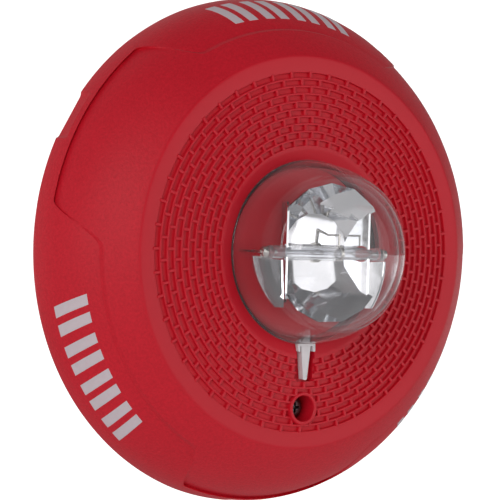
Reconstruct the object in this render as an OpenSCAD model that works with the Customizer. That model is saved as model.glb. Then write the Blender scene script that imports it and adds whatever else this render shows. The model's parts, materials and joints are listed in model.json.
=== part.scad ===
// Round wall-mounted horn strobe: a mounting plate with its wiring terminals, and a tilting head
// that carries the sounder, the flash tube, its reflector and the clear lens.
// Every piece is drawn with x to the right, y up and z out of the wall, then stood up by on_wall().
// The frame's origin is the middle of the plate's back face, and the head looks along -Y.

/* [Head] */
// Radius of the head where it meets the wall
rim_r = 86.4; // [84:0.1:110]
// Height of the crown's crease above the wall
crown_h = 33.3; // [33:0.1:42]
// Rise of the grille from its outer edge to the lens
field_rise = 2.2; // [0.5:0.1:4]
// Wall of the front housing
wall_t = 2.4; // [1.8:0.1:3]
// How far the printed side panels fall in from the rim at crease height
panel_drop = 25.2; // [24:0.1:28]
// How far the crown falls in from the lobes' foot at crease height
crown_drop = 19.4; // [17:0.1:21]
// Ledge left at the rim outside each lobe
lobe_ledge = 1.2; // [0.6:0.1:2]
// Radius of the ridge between the crown and the side panels, in from the rim
ridge_in = 11.55; // [10:0.05:13]
// Half angle of a lobe at its foot
lobe_half = 20; // [14:1:24]
// Angle over which a lobe's side sweeps back to the ridge
lobe_sweep = 10.5; // [8:0.5:14]
// Length of the finger notch in the rim of each lobe
notch_w = 17; // [12:1:26]
// Depth of the finger notch
notch_d = 1.4; // [0.8:0.1:1.8]

/* [Grille] */
// Outer radius of the grille, in from the crease
grille_in = 5.2; // [4:0.1:8]
// Inner radius of the grille
grille_r = 35.4; // [35:0.1:38]
// Depth of the grille's cells
cell_d = 0.9; // [0.5:0.1:1.4]
// Rows of cells
cell_rows = 10; // [6:1:12]
// Cells in each row
cells_round = 48; // [36:2:60]
// Width of the ribs between rows
rib_w = 0.8; // [0.6:0.05:1.2]

/* [Lens and strobe] */
// Radius of the lens at its foot
lens_r = 30.5; // [28.5:0.1:31.5]
// Wall of the lens
lens_t = 1.8; // [1.5:0.1:2.5]
// Height of the lens above the wall
lens_top = 63.5; // [60:0.5:78]
// Length of the lens's locating tail
tail_l = 12; // [8:0.5:14]
// Half width of the reflector's bowl over the top of its side walls
bowl_half = 16.4; // [14:0.1:17]
// Half width of the reflector's bowl at the foot of its side walls
bowl_foot = 11.5; // [9:0.1:13]
// Radius of the reflector's bowl
bowl_r = 23.2; // [20:0.1:24]
// Focal length of the bowl
bowl_f = 9.8; // [9:0.1:11]
// Sheet thickness of the reflector
bowl_t = 1; // [0.8:0.1:1.2]
// Height of the flash tube's axis above the crown
tube_up = 10.7; // [10.4:0.1:12]
// Radius of the flash tube
tube_r = 2.2; // [1.8:0.05:2.7]

/* [Mounting plate] */
// Radius of the mounting plate
plate_r = 70; // [62:0.5:72]
// Sheet thickness of the plate
plate_t = 2.5; // [2:0.1:3]
// Height of the plate's raised edge
plate_edge_h = 6; // [4:0.5:7]
// Height of a single-gang box's screw spacing
gang_h = 83.3;
// Width of a double-gang box's screw spacing
gang_w = 46;
// Screw spacing of a 4 inch octagon box
octagon_w = 88.9;
// Radius of the plate's screw holes
plate_hole_r = 2.3; // [2:0.05:2.6]
// Width of the wire entry
entry_w = 44; // [30:1:50]
// Height of the wire entry
entry_h = 24; // [16:1:26]

/* [Hinge and captive screw] */
// Height of the hinge pin up the wall
hinge_y = 79.6; // [78:0.1:81]
// Height of the hinge pin off the wall
hinge_z = 2.6; // [2.4:0.1:3]
// Radius of the hinge pin
pin_r = 1.25; // [1:0.05:1.5]
// Running clearance between the pin and the plate's hook
pin_gap = 0.08; // [0.03:0.01:0.1]
// Width of the plate's hook
hook_w = 18; // [12:1:22]
// Largest tilt of the head
tilt_max = 20; // [10:1:22]
// Distance of the captive screw below the middle
screw_y = 52.3; // [50:0.1:53]
// Radius of the captive screw's thread
screw_r = 1.75; // [1.5:0.05:2.2]
// Radius of the captive screw's head
screw_head_r = 3.7; // [3.4:0.1:4]
// Bore of the screw's access well
well_r = 4.3; // [4.1:0.1:4.6]
// Travel of the captive screw
screw_travel = 6; // [4:0.5:6]

/* [Electronics] */
// Height of the circuit board's back face above the wall
board_z = 15; // [14.8:0.1:17]
// Thickness of the circuit board
board_t = 1.6; // [1.2:0.1:2]
// Radius of the circuit board
board_r = 60; // [57:0.5:62]
// Radius of the storage capacitor
cap_r = 6.5; // [5:0.1:6.6]
// Length of the storage capacitor
cap_l = 25; // [18:0.5:27]
// Travel of the candela slider each way
slider_travel = 4; // [2:0.5:5]

/* [Terminals] */
// Spacing of the wiring terminals
term_pitch = 9; // [8.6:0.1:10]
// Height of the terminal block
term_h = 4.5; // [4:0.1:5]
// Radius of a terminal screw's thread
term_screw_r = 1.7; // [1.5:0.05:1.9]
// Travel of a terminal screw
term_travel = 2; // [1:0.1:2.2]

/* [Hidden] */
$fn = 96;

steps = 10;                                   // straight steps in each curved profile
eps = 0.01;
gap = 0.3;                                    // clearance between pieces that move apart
crease_r = rim_r - lobe_ledge - crown_drop;
ridge_r = rim_r - ridge_in;
grille_out = crease_r - grille_in;
field_h = crown_h + field_rise;
row_pitch = (grille_out - grille_r) / cell_rows;
cell_arc = 360 / cells_round;
lobe_at = [30, 150, 270];                     // middles of the three lobes

groove_gap = 0.25;                            // clearance round the lens in its groove
groove_wall = 1.2;                            // wall of the lens's groove
groove_z = crown_h - 1.8;                     // floor of the lens's groove
gasket_t = 0.5;
lens_foot = groove_z + gasket_t;
deck_z = crown_h - 1.3;                       // top of the deck inside the lens
deck_under = crown_h - 4.2;                   // underside of the deck and the groove
tube_z = crown_h + tube_up;
bowl_apex = tube_z - bowl_f;
side_top = tube_z + 2.2;                      // top of the reflector's flat side walls
foot_z = bowl_apex + 2.8;                     // foot of the side walls
lens_base = crown_h + 0.9;                    // where the lens's dome begins
// Radius of the lens's inside at height z
function lens_room(z) = let (s = pow((z - lens_base) / (lens_top - lens_t - lens_base), 1 / 1.15))
    (lens_r - lens_t) * pow(1 - s * s, 0.23);
wing_w = lens_room(tube_z + 0.8) - 0.4;       // half width over the reflector's wings
cap_l1 = 2;                                   // length of the flash tube's end caps
tube_half = lens_room(tube_z + tube_r) - 0.5 - cap_l1 - 0.8;   // half length of the tube between its caps
lead_x = tube_half + cap_l1 + 0.2;            // leads that carry the tube
slot_w = 7.4;                                 // slot that holds the lens's tail
slot_floor = field_h - 2.9;

plate_clear = 0.5;                            // plate bosses stay this far under the rear cover
cover_z = 9.5;                                // back face of the rear cover
cover_t = 2;
cover_front = cover_z + cover_t;
cover_r = rim_r - 9;
cover_post_r = cover_r - 7;                   // radius of the ring of rear cover screws
board_front = board_z + board_t;
board_post_r = board_r - 4.5;
insert_top = cover_z - 1.5;
seat_z = 20.5;                                // the captive screw's seat in its well
head_t = 3;
tip_rest = insert_top + 0.8;                  // tip of the captive screw when it is backed out
head_z = seat_z + screw_travel;               // underside of its head when it is backed out
washer_t = 0.6;
retainer_t = 0.8;
retainer_z = cover_front + 1.5;
thread_l = 4;

term_y = 19;                                  // line of the terminal screws
contact_y = 27;                               // line of the contact blades
term_top = plate_t + term_h;
strip_t = 0.7;
clamp_t = 0.7;
clamp_z = term_top + strip_t;
blade_tip = clamp_z + gap;
term_w = 4 * term_pitch + 2;
pocket_w = term_w + 6;
pocket_y0 = 10;
pocket_y1 = 34;
pocket_t = 1.5;
pocket_top = board_z - 0.5;

spring_y = 36;                                // line of the shorting spring
spring_z = 5;
spring_t = 0.4;

slider_y = -22;
slider_x = -38;
rotor_x = 38;
rotor_y = -22;
switch_z = cover_front + 0.3;                 // back faces of the two switch bodies
rotor_r = 3.2;

// the sounder fills the room between the lens's groove and the crown's wall
cup_r = (crease_r - wall_t - 2 * gap - lens_r - groove_wall - gap - 0.2) / 2;
sounder_y = lens_r + groove_wall + gap + 0.1 + cup_r;
disc_z = 20;                                  // the piezo disc's seat
disc_t = 0.4;

function panel_r(z) = rim_r - panel_drop * pow(z / crown_h, 2.4);
function crown_r(z) = rim_r - lobe_ledge - crown_drop * pow(z / crown_h, 2.3);
// Height of the grille's surface at radius r
function field_z(r) = crown_h + field_rise * (1 - pow((r - grille_r) / (grille_out - grille_r), 2));
// Plan radius of the crown and its lobes at angle a: the ridge, swept out to the foot of each lobe
function smooth(t) = let (u = min(1, max(0, t))) u * u * (3 - 2 * u);
function lobe_off(a) = min([for (m = lobe_at) abs((a - m + 540) % 360 - 180)]);
function outline_r(a) = let (k = smooth((lobe_half + lobe_sweep - lobe_off(a)) / lobe_sweep))
    ridge_r + (rim_r - lobe_ledge - 0.3 - ridge_r) * k;
function terminal_x(i) = (i - 2.5) * term_pitch;

module on_wall() { rotate([90, 0, 0]) children(); }
module at_z(z) { translate([0, 0, z]) children(); }
module disc(r, z0, z1) { at_z(z0) cylinder(r = r, h = z1 - z0); }
module ring(ro, ri, z0, z1) {
    difference() { disc(ro, z0, z1); disc(ri, z0 - 1, z1 + 1); }
}
module block(x0, x1, y0, y1, z0, z1) { translate([x0, y0, z0]) cube([x1 - x0, y1 - y0, z1 - z0]); }
module polar(r, a) { rotate([0, 0, a]) translate([r, 0, 0]) children(); }

// ---- front housing -------------------------------------------------------------------------
// One side of revolution: the side curve, the crease ring, the domed grille field and the annulus
module turned(side, top_drop) {
    field = [for (i = [0:steps]) let (r = grille_out + (grille_r - grille_out) * i / steps)
        [r, field_z(r) - top_drop]];
    rotate_extrude() polygon(concat([[0, 0]], side, [[crease_r - top_drop, crown_h - top_drop]],
        field, [[lens_r + groove_gap, crown_h + 0.9 - top_drop], [0, crown_h + 0.9 - top_drop]]));
}
module crown_form() {
    turned([for (i = [0:steps - 1]) let (z = crown_h * i / steps) [crown_r(z), z]], 0);
}
module panel_form() {
    turned([for (i = [0:steps - 1]) let (z = crown_h * i / steps) [panel_r(z), z]], 0);
}
module inner_form() {
    inset = wall_t + 0.4;
    top = crown_h - wall_t;
    turned(concat([[rim_r - inset, 0]], [for (i = [1:steps - 1]) let (z = top * i / steps)
        [panel_r(z * crown_h / top) - inset, z]]), wall_t);
}
module outline_prism() {
    linear_extrude(height = crown_h + field_rise + 5)
        polygon([for (a = [0:2.5:357.5]) outline_r(a) * [cos(a), sin(a)]]);
}
module lens_groove() {
    ring(lens_r + groove_gap, lens_r - lens_t - groove_gap, groove_z, field_h + 5);
    disc(lens_r - lens_t - groove_gap - eps, deck_z, field_h + 5);
}
module tail_slot() { block(-slot_w / 2, slot_w / 2, -lens_r - tail_l - 0.8, -lens_r + 1, slot_floor, field_h + 5); }
module grille_grooves() {
    for (k = [0:cell_rows - 1]) {
        r0 = grille_r + k * row_pitch + rib_w / 2;
        r1 = r0 + row_pitch - rib_w;
        rotate_extrude() polygon([[r0, field_z(r0) - cell_d], [r1, field_z(r1) - cell_d],
            [r1, field_h + 2], [r0, field_h + 2]]);
    }
}
// Cells over the sounder go right through, so that the sound gets out
module sound_slots() {
    for (k = [0:cell_rows - 1], n = [0:cells_round - 1]) {
        r = grille_r + (k + 0.5) * row_pitch;
        a = (n + (k % 2) / 2) * cell_arc;
        if (norm([r * cos(a), r * sin(a) - sounder_y]) < cup_r - 4.5)
            polar(r, a) translate([0, 0, crown_h]) cube([row_pitch - rib_w, r * cell_arc * PI / 180 - 1.1, 12], center = true);
    }
}
module finger_notches() {
    for (a = lobe_at) polar(rim_r - notch_d, a) block(0, 10, -notch_w / 2, notch_w / 2, -1, 5);
}
// The back of the rim is relieved at the top, so that the head can tilt against the wall
module tilt_relief() {
    translate([0, hinge_y, hinge_z]) rotate([tilt_max, 0, 0]) translate([0, 0, -hinge_z])
        block(-60, 60, 0, 40, -20, 0);
}
module screw_well() {
    disc(well_r, seat_z, field_h + 5);
    disc(screw_r + 0.35, cover_front, field_h);
}
module board_post(a) { polar(board_post_r, a) children(); }
module cover_post(a) { polar(cover_post_r, a) children(); }
module tail_boss() { block(-slot_w / 2 - 1.6, slot_w / 2 + 1.6, -lens_r - tail_l - 2.4, -lens_r, slot_floor - 1.8, crown_h); }
board_angles = [20, 160, 210, 330];
cover_angles = [45, 135, 225, 315];

module front_housing() {
    color([0.72, 0.09, 0.13]) on_wall() difference() {
        union() {
            difference() {
                union() {
                    intersection() { crown_form(); outline_prism(); }
                    difference() { panel_form(); outline_prism(); }
                    ring(rim_r - lobe_ledge - 0.5, ridge_r - 8, 0, 6);
                }
                inner_form();
            }
            ring(lens_r + groove_wall, lens_r - lens_t - 3, deck_under, groove_z + 1);
            disc(lens_r, deck_under, deck_z);
            tail_boss();
            translate([0, -screw_y, 0]) disc(well_r + 1.6, retainer_z, crown_h);
            translate([0, -screw_y, 0]) disc(well_r + 1.2, crown_h, field_z(screw_y) + 0.7);
            for (a = board_angles) board_post(a) disc(3.2, board_front, field_z(board_post_r - 3.2) - wall_t + 0.2);
            for (a = cover_angles) cover_post(a) disc(3.6, cover_front, panel_z_at(cover_post_r + 3.6) - 1.2);
        }
        lens_groove();
        tail_slot();
        difference() { grille_grooves(); translate([0, -screw_y, 0]) disc(well_r + 1.2, 0, 60); }
        sound_slots();
        finger_notches();
        tilt_relief();
        translate([0, -screw_y, 0]) screw_well();
        translate([0, -screw_y, 0]) disc(screw_r + 1.75, retainer_z - 1, retainer_z + retainer_t);
        for (a = board_angles) board_post(a) disc(1.05, board_front - 1, crown_h - 5);
        for (a = cover_angles) cover_post(a) disc(1.3, cover_front - 1, cover_front + 8);
        for (x = [-1, 1]) translate([x * lead_x, 0, 0]) disc(0.9, deck_under - 1, deck_z + 1);
        for (x = [-1, 1]) translate([x * 12, -14, 0]) disc(1.7, deck_under - 1, deck_z + 1);
        translate([6, 6, 0]) disc(0.7, deck_under - 1, deck_z + 1);
    }
}
// Height at which the side panels reach radius r
function panel_z_at(r) = crown_h * pow((rim_r - r) / panel_drop, 1 / 2.4);

// ---- rear cover ----------------------------------------------------------------------------
module lug(x0) {
    block(x0, x0 + 2.4, cover_r - 9, hinge_y + 0.3, cover_z, cover_front);
    difference() {
        union() {
            block(x0, x0 + 2.4, hinge_y - 5, hinge_y + 0.3, hinge_z - 1, cover_front);
            translate([x0, hinge_y, hinge_z]) rotate([0, 90, 0]) cylinder(r = pin_r + 1.1, h = 2.4);
        }
        translate([x0 - 1, hinge_y, hinge_z]) rotate([0, 90, 0]) cylinder(r = pin_r, h = 5);
    }
}
module rear_cover() {
    color([0.14, 0.14, 0.15]) on_wall() difference() {
        union() {
            difference() {
                disc(cover_r, cover_z, cover_front);
                block(-pocket_w / 2 + pocket_t, pocket_w / 2 - pocket_t, pocket_y0 + pocket_t,
                    pocket_y1 - pocket_t, cover_z - 1, cover_front + 1);
            }
            difference() {
                block(-pocket_w / 2, pocket_w / 2, pocket_y0, pocket_y1, cover_z, pocket_top);
                block(-pocket_w / 2 + pocket_t, pocket_w / 2 - pocket_t, pocket_y0 + pocket_t,
                    pocket_y1 - pocket_t, cover_z - 1, pocket_top - pocket_t);
            }
            for (x0 = [-hook_w / 2 - 0.5 - 2.4, hook_w / 2 + 0.5]) lug(x0);
            // the post that holds the shorting spring off its contacts
            block(9, 13, spring_y + 0.4, spring_y + 3.4, spring_z + spring_t + 0.15, cover_z + eps);
            block(9, 13, spring_y - 1.4, spring_y + 3.4, spring_z + spring_t + 0.15, spring_z + spring_t + 1.35);
        }
        translate([0, -screw_y, 0]) disc(screw_r + 0.5, cover_z - 1, cover_front + 1);
        for (a = cover_angles) cover_post(a) disc(1.7, cover_z - 1, cover_front + 1);
        block(slider_x - slider_travel - 3, slider_x + slider_travel + 3, slider_y - 2.3, slider_y + 2.3,
            cover_z - 1, cover_front + 1);
        translate([rotor_x, rotor_y, 0]) disc(rotor_r + 0.5, cover_z - 1, cover_front + 1);
        for (i = [1:4]) block(terminal_x(i) - 1.8, terminal_x(i) + 1.8, contact_y - 1.2, contact_y + 1.2,
            cover_z, pocket_top + 1);
    }
}
module rear_cover_screws() {
    color("silver") on_wall() for (a = cover_angles) cover_post(a) {
        disc(2.6, cover_z - 1.4, cover_z);
        disc(1.3, cover_z - eps, cover_front + 7);
    }
}
module hinge_pin() {
    color("silver") on_wall() translate([-hook_w / 2 - 2.6, hinge_y, hinge_z]) rotate([0, 90, 0])
        cylinder(r = pin_r, h = hook_w + 5.2);
}

// ---- lens and strobe -----------------------------------------------------------------------
// Radius of the lens's outside at height z: a short drum that rounds over into a shallow dome
function lens_out(t) = [lens_r * pow(cos(90 * t), 0.46), lens_base + (lens_top - lens_base) * pow(sin(90 * t), 1.15)];
function lens_in(t) = [(lens_r - lens_t) * pow(cos(90 * t), 0.46),
    lens_base + (lens_top - lens_t - lens_base) * pow(sin(90 * t), 1.15)];
module lens() {
    n = 14;
    color([0.9, 0.93, 0.95, 0.35]) on_wall() {
        rotate_extrude() polygon(concat([[lens_r - lens_t, lens_foot], [lens_r, lens_foot]],
            [for (i = [0:n - 1]) lens_out(i / n)], [[0, lens_top], [0, lens_top - lens_t]],
            [for (i = [n - 1:-1:0]) lens_in(i / n)]));
        at_z(slot_floor + 0.2) linear_extrude(height = field_h - slot_floor - 0.4)
            polygon([[-1.9, -lens_r + 0.8], [1.9, -lens_r + 0.8], [0.8, -lens_r - tail_l], [-0.8, -lens_r - tail_l]]);
    }
}
module lens_gasket() {
    color([0.1, 0.1, 0.1]) on_wall() ring(lens_r, lens_r - lens_t, groove_z, lens_foot);
}
function bowl_z(r) = bowl_apex + r * r / (4 * bowl_f);
module bowl_form(drop) {
    n = 10;
    rotate_extrude() polygon(concat([for (i = [0:n]) let (r = bowl_r * i / n) [r, bowl_z(r) - drop]],
        [[bowl_r, bowl_z(bowl_r) + 3], [0, bowl_z(bowl_r) + 3]]));
}
// Wedge between the bowl's two leaning side walls, widened by t on each side
module between_sides(t) {
    lean = (bowl_half - bowl_foot) / (side_top - foot_z);
    half = bowl_foot + t - lean * foot_z;
    rotate([90, 0, 0]) linear_extrude(height = 80, center = true)
        polygon([[-half, 0], [half, 0], [half + lean * 60, 60], [-half - lean * 60, 60]]);
}
module reflector() {
    top = bowl_z(bowl_r);
    color([0.85, 0.86, 0.88]) on_wall() difference() {
        union() {
            intersection() {
                difference() {
                    intersection() { bowl_form(bowl_t); disc(bowl_r + 1, 0, top); }
                    intersection() { bowl_form(0); between_sides(0); }
                }
                between_sides(bowl_t);
                disc(bowl_r, 0, top);
            }
            // flat wings on either side, below the tube
            intersection() {
                disc(wing_w, tube_z - 0.2, tube_z + 0.8);
                union() for (x = [-1, 1]) block(min(x * (bowl_half - 0.6), x * 30), max(x * (bowl_half - 0.6), x * 30),
                    -18.2, -tube_r + 0.6, 0, 80);
            }
            for (x = [-1, 1]) translate([x * 12, -14, 0]) disc(1.4, board_front, bowl_z(17) - 0.3);
        }
        translate([-40, 0, tube_z]) rotate([0, 90, 0]) cylinder(r = tube_r + 0.5, h = 80);
        translate([6, 6, 0]) disc(0.8, 0, 60);
        for (x = [-1, 1]) translate([x * (bowl_half + 4), 0, side_top + 5]) cube([10, 26, 10], center = true);
    }
}
module flash_tube() {
    color([0.95, 0.97, 1, 0.4]) on_wall() translate([-tube_half, 0, tube_z]) rotate([0, 90, 0]) difference() {
        cylinder(r = tube_r, h = 2 * tube_half);
        at_z(2) cylinder(r = tube_r - 0.6, h = 2 * tube_half - 4);
    }
}
module tube_end_caps() {
    color("silver") on_wall() for (x = [-1, 1]) {
        translate([x * (tube_half + cap_l1 / 2), 0, tube_z]) rotate([0, 90, 0])
            cylinder(r = tube_r - 0.3, h = cap_l1, center = true);
        translate([x * lead_x, 0, 0]) disc(0.6, board_front, tube_z);
    }
}
// A turn of wire round the tube, with its lead down to the trigger coil's side of the board
module trigger_band() {
    color([0.75, 0.45, 0.3]) on_wall() {
        translate([6, 0, tube_z]) rotate([0, 90, 0]) difference() {
            cylinder(r = tube_r + 0.45, h = 1, center = true);
            cylinder(r = tube_r, h = 3, center = true);
        }
        translate([6, 0, tube_z]) block(-0.3, 0.3, tube_r, 6.3, -0.3, 0.3);
        translate([6, 6, 0]) disc(0.35, board_front, tube_z + 0.3);
    }
}

// ---- electronics ---------------------------------------------------------------------------
module circuit_board() {
    color([0.05, 0.3, 0.15]) on_wall() difference() {
        disc(board_r, board_z, board_front);
        translate([0, -screw_y, 0]) disc(well_r + 2.4, board_z - 1, board_front + 1);
        for (a = board_angles) board_post(a) disc(1.6, board_z - 1, board_front + 1);
    }
}
module circuit_board_screws() {
    color("silver") on_wall() for (a = board_angles) board_post(a) {
        disc(2.4, board_z - 1.3, board_z);
        disc(1.05, board_z - eps, board_front + 6);
    }
}
cap_x = -42;
module storage_capacitor() {
    color([0.12, 0.14, 0.2]) on_wall() translate([cap_x, 4, board_front + cap_r]) rotate([-90, 0, 0]) {
        cylinder(r = cap_r, h = cap_l);
        for (x = [-2.5, 2.5]) translate([x, 0, -1.5]) cylinder(r = 0.4, h = 1.6);
    }
}
inductor_at = [41, 16];
module inductor_core() {
    color([0.22, 0.22, 0.23]) on_wall() translate([inductor_at.x, inductor_at.y, 0]) {
        disc(6, board_front, board_front + 1.5);
        disc(2.6, board_front, board_front + 10);
        disc(6, board_front + 8.5, board_front + 10);
    }
}
module inductor_winding() {
    color([0.7, 0.38, 0.15]) on_wall() translate([inductor_at.x, inductor_at.y, 0])
        ring(5.4, 2.6, board_front + 1.5, board_front + 8.5);
}
module trigger_coil() {
    color([0.5, 0.1, 0.08]) on_wall() block(22, 32, -42, -33, board_front, board_front + 9);
}
module microcontroller() {
    color([0.08, 0.08, 0.08]) on_wall() {
        block(-26, -16, -44, -36.5, board_front + 0.3, board_front + 2.4);
        for (i = [0:6], s = [-1, 1])
            translate([-25 + i * 1.35, -40.25 + s * 4.6, board_front]) cube([0.5, 1.7, 0.6], center = false);
    }
}
module rectifier_diodes() {
    color([0.12, 0.12, 0.12]) on_wall() for (i = [0:3]) translate([-44 + i * 6.5, -9, 0])
        block(0, 3.6, 0, 5.2, board_front, board_front + 2.2);
}
module chip_resistors() {
    color([0.15, 0.15, 0.17]) on_wall() for (i = [0:5], j = [0:1]) translate([32 + i * 3.4, -14 + j * 4.5, 0])
        block(0, 1.6, 0, 3.2, board_front, board_front + 0.6);
}
module contact_blades() {
    color([0.85, 0.68, 0.3]) on_wall() for (i = [1:4])
        block(terminal_x(i) - 1.3, terminal_x(i) + 1.3, contact_y - 0.4, contact_y + 0.4, blade_tip, board_z);
}

// ---- sounder -------------------------------------------------------------------------------
cup_top = crown_h - wall_t - gap;
module at_sounder() { translate([0, sounder_y, 0]) children(); }
module sounder_cup() {
    color([0.1, 0.1, 0.11]) on_wall() at_sounder() difference() {
        disc(cup_r, board_front, cup_top);
        disc(cup_r - 1.5, disc_z, cup_top + 1);
        disc(cup_r - 3, board_front + 1.2, disc_z + 1);
        for (x = [-3, 3]) translate([x, 0, 0]) disc(0.6, 0, disc_z);
    }
}
module piezo_disc() {
    color([0.82, 0.66, 0.3]) on_wall() at_sounder() disc(cup_r - 1.6, disc_z, disc_z + disc_t);
}
module piezo_ceramic() {
    color([0.85, 0.84, 0.8]) on_wall() at_sounder() disc(cup_r - 5.5, disc_z - disc_t, disc_z);
}
module piezo_clamp_ring() {
    color([0.2, 0.2, 0.2]) on_wall() at_sounder() ring(cup_r - 1.6, cup_r - 3.2, disc_z + disc_t, disc_z + disc_t + 2);
}
module piezo_leads() {
    color([0.75, 0.12, 0.1]) on_wall() at_sounder() for (x = [-3, 3]) translate([x, 0, 0])
        disc(0.45, board_front, disc_z - disc_t);
}

// ---- switches on the back ------------------------------------------------------------------
module candela_switch() {
    color([0.2, 0.2, 0.22]) on_wall() difference() {
        block(slider_x - slider_travel - 5, slider_x + slider_travel + 5, slider_y - 3.2, slider_y + 3.2, switch_z, board_z);
        block(slider_x - slider_travel - 2.2, slider_x + slider_travel + 2.2, slider_y - 1.6, slider_y + 1.6,
            switch_z - 1, switch_z + 1.8);
    }
}
module candela_slider() {
    color([0.9, 0.9, 0.88]) on_wall() {
        block(slider_x - 2, slider_x + 2, slider_y - 1.4, slider_y + 1.4, cover_z - 1.6, switch_z + 1.6);
    }
}
module tone_switch() {
    color([0.2, 0.2, 0.22]) on_wall() translate([rotor_x, rotor_y, 0]) difference() {
        block(-5, 5, -5, 5, switch_z, board_z);
        disc(rotor_r - 1.2 + 0.06, switch_z - 1, switch_z + 2);
    }
}
module tone_rotor() {
    color([0.9, 0.9, 0.88]) on_wall() translate([rotor_x, rotor_y, 0]) difference() {
        union() {
            disc(rotor_r - 1.2, switch_z - 0.2, switch_z + 1.8);
            disc(rotor_r, cover_z - 0.6, switch_z - 0.1);
        }
        block(-2.6, 1.6, -0.5, 0.5, cover_z - 2, cover_z + 0.6);
    }
}

// ---- captive screw -------------------------------------------------------------------------
module at_screw() { translate([0, -screw_y, 0]) children(); }
module screw_retainer() {
    color([0.9, 0.9, 0.85]) on_wall() at_screw() ring(screw_r + 1.75, screw_r - 0.35, retainer_z, retainer_z + retainer_t);
}
module screw_washer() {
    color([0.85, 0.85, 0.82]) on_wall() at_screw() ring(screw_head_r, screw_r + 0.05, head_z, head_z + washer_t);
}
module captive_screw() {
    under = head_z + washer_t;
    color([0.45, 0.45, 0.47]) on_wall() at_screw() difference() {
        union() {
            disc(screw_head_r, under, under + head_t - 0.8);
            at_z(under + head_t - 0.8) cylinder(r1 = screw_head_r, r2 = screw_head_r - 1, h = 0.8);
            disc(screw_r, head_z - 1.5, under);
            disc(screw_r - 0.45, tip_rest + thread_l - eps, head_z);
            disc(screw_r, tip_rest, tip_rest + thread_l);
        }
        for (a = [0, 90]) rotate([0, 0, a]) block(-2.2, 2.2, -0.45, 0.45, under + head_t - 1.6, under + head_t + 1);
    }
}

// ---- mounting plate ------------------------------------------------------------------------
module mounting_plate() {
    color([0.13, 0.13, 0.14]) on_wall() difference() {
        union() {
            disc(plate_r, 0, plate_t);
            ring(plate_r, plate_r - 2, 0, plate_edge_h);
            translate([0, -screw_y, 0]) disc(4.6, 0, insert_top);
            // rib round the wire entry
            difference() {
                block(-entry_w / 2 - 1.6, entry_w / 2 + 1.6, -entry_h - 3.6, -0.4, 0, plate_t + 2);
                block(-entry_w / 2, entry_w / 2, -entry_h - 2, -2, -1, 10);
            }
            block(-21, -16, spring_y - 2.5, spring_y + 2.5, 0, spring_z);
            hook();
        }
        block(-entry_w / 2, entry_w / 2, -entry_h - 2, -2, -1, plate_t + 1);
        translate([0, -screw_y, 0]) disc(screw_r + 1, -1, insert_top + 1);
        for (y = [-1, 1]) translate([0, y * gang_h / 2, 0]) plate_hole();
        for (x = [-1, 1], y = [-1, 1]) translate([x * gang_w / 2, y * gang_h / 2, 0]) plate_hole();
        for (x = [-1, 1]) translate([x * octagon_w / 2, 0, 0]) plate_hole();
        translate([-18.5, spring_y, 0]) disc(1, -1, spring_z + 1);
    }
}
module plate_hole() { disc(plate_hole_r, -1, plate_t + 1); }
module hook() {
    r = pin_r + pin_gap;
    difference() {
        union() {
            block(-hook_w / 2, hook_w / 2, plate_r - 4, hinge_y - 2, 0, plate_t);
            translate([-hook_w / 2, hinge_y, hinge_z]) rotate([0, 90, 0]) cylinder(r = r + 1.1, h = hook_w);
            block(-hook_w / 2, hook_w / 2, hinge_y - 3.5, hinge_y, hinge_z - r - 1.1, plate_t);
        }
        translate([-hook_w / 2 - 1, hinge_y, hinge_z]) rotate([0, 90, 0]) cylinder(r = r, h = hook_w + 2);
        // open mouth, so that the head hooks on from the front
        translate([-hook_w / 2 - 1, hinge_y, hinge_z]) rotate([35, 0, 0]) cube([hook_w + 2, 6, r - 0.2]);
    }
}
module screw_insert() {
    color([0.8, 0.62, 0.25]) on_wall() at_screw() ring(screw_r + 1, screw_r + 0.05, 0.8, insert_top);
}

// ---- terminals -----------------------------------------------------------------------------
module terminal_block() {
    color([0.08, 0.08, 0.09]) on_wall() difference() {
        union() {
            block(-term_w / 2, term_w / 2, term_y - 5, contact_y + 4, plate_t, term_top);
            for (i = [0:4]) translate([(i - 2) * term_pitch, 0, 0])
                block(-0.5, 0.5, term_y - 5, term_y + 4, plate_t, term_top + 1.6);
        }
        for (i = [1:4]) translate([terminal_x(i), term_y, 0]) disc(term_screw_r + 0.05, plate_t + 0.6, term_top + 1);
    }
}
module terminal_contacts() {
    color([0.82, 0.66, 0.3]) on_wall() for (i = [1:4]) translate([terminal_x(i), 0, 0]) difference() {
        block(-3.2, 3.2, term_y - 4, (i == 2 || i == 3) ? spring_y + 1.2 : contact_y + 3.5, term_top, clamp_z);
        translate([0, term_y, 0]) disc(term_screw_r + 0.2, 0, 20);
    }
}
module terminal_clamp(i) {
    color([0.75, 0.75, 0.76]) on_wall() translate([terminal_x(i), term_y, 0]) difference() {
        block(-3.1, 3.1, -3.4, 3.4, clamp_z, clamp_z + clamp_t);
        disc(term_screw_r + 0.05, 0, 20);
    }
}
module terminal_screw(i) {
    z = clamp_z + clamp_t;
    color([0.7, 0.7, 0.72]) on_wall() translate([terminal_x(i), term_y, 0]) difference() {
        union() {
            disc(2.9, z, z + 1.5);
            disc(term_screw_r, plate_t + 1, z + 0.5);
        }
        for (a = [0, 90]) rotate([0, 0, a]) block(-1.9, 1.9, -0.35, 0.35, z + 0.6, z + 3);
    }
}
module terminal_clamp_1() { terminal_clamp(1); }
module terminal_clamp_2() { terminal_clamp(2); }
module terminal_clamp_3() { terminal_clamp(3); }
module terminal_clamp_4() { terminal_clamp(4); }
module terminal_screw_1() { terminal_screw(1); }
module terminal_screw_2() { terminal_screw(2); }
module terminal_screw_3() { terminal_screw(3); }
module terminal_screw_4() { terminal_screw(4); }
module shorting_spring() {
    color([0.86, 0.72, 0.36]) on_wall() difference() {
        block(-20.5, 14, spring_y - 1.3, spring_y + 1.3, spring_z, spring_z + spring_t);
        translate([-18.5, spring_y, 0]) disc(1.05, 0, 20);
    }
}
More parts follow.
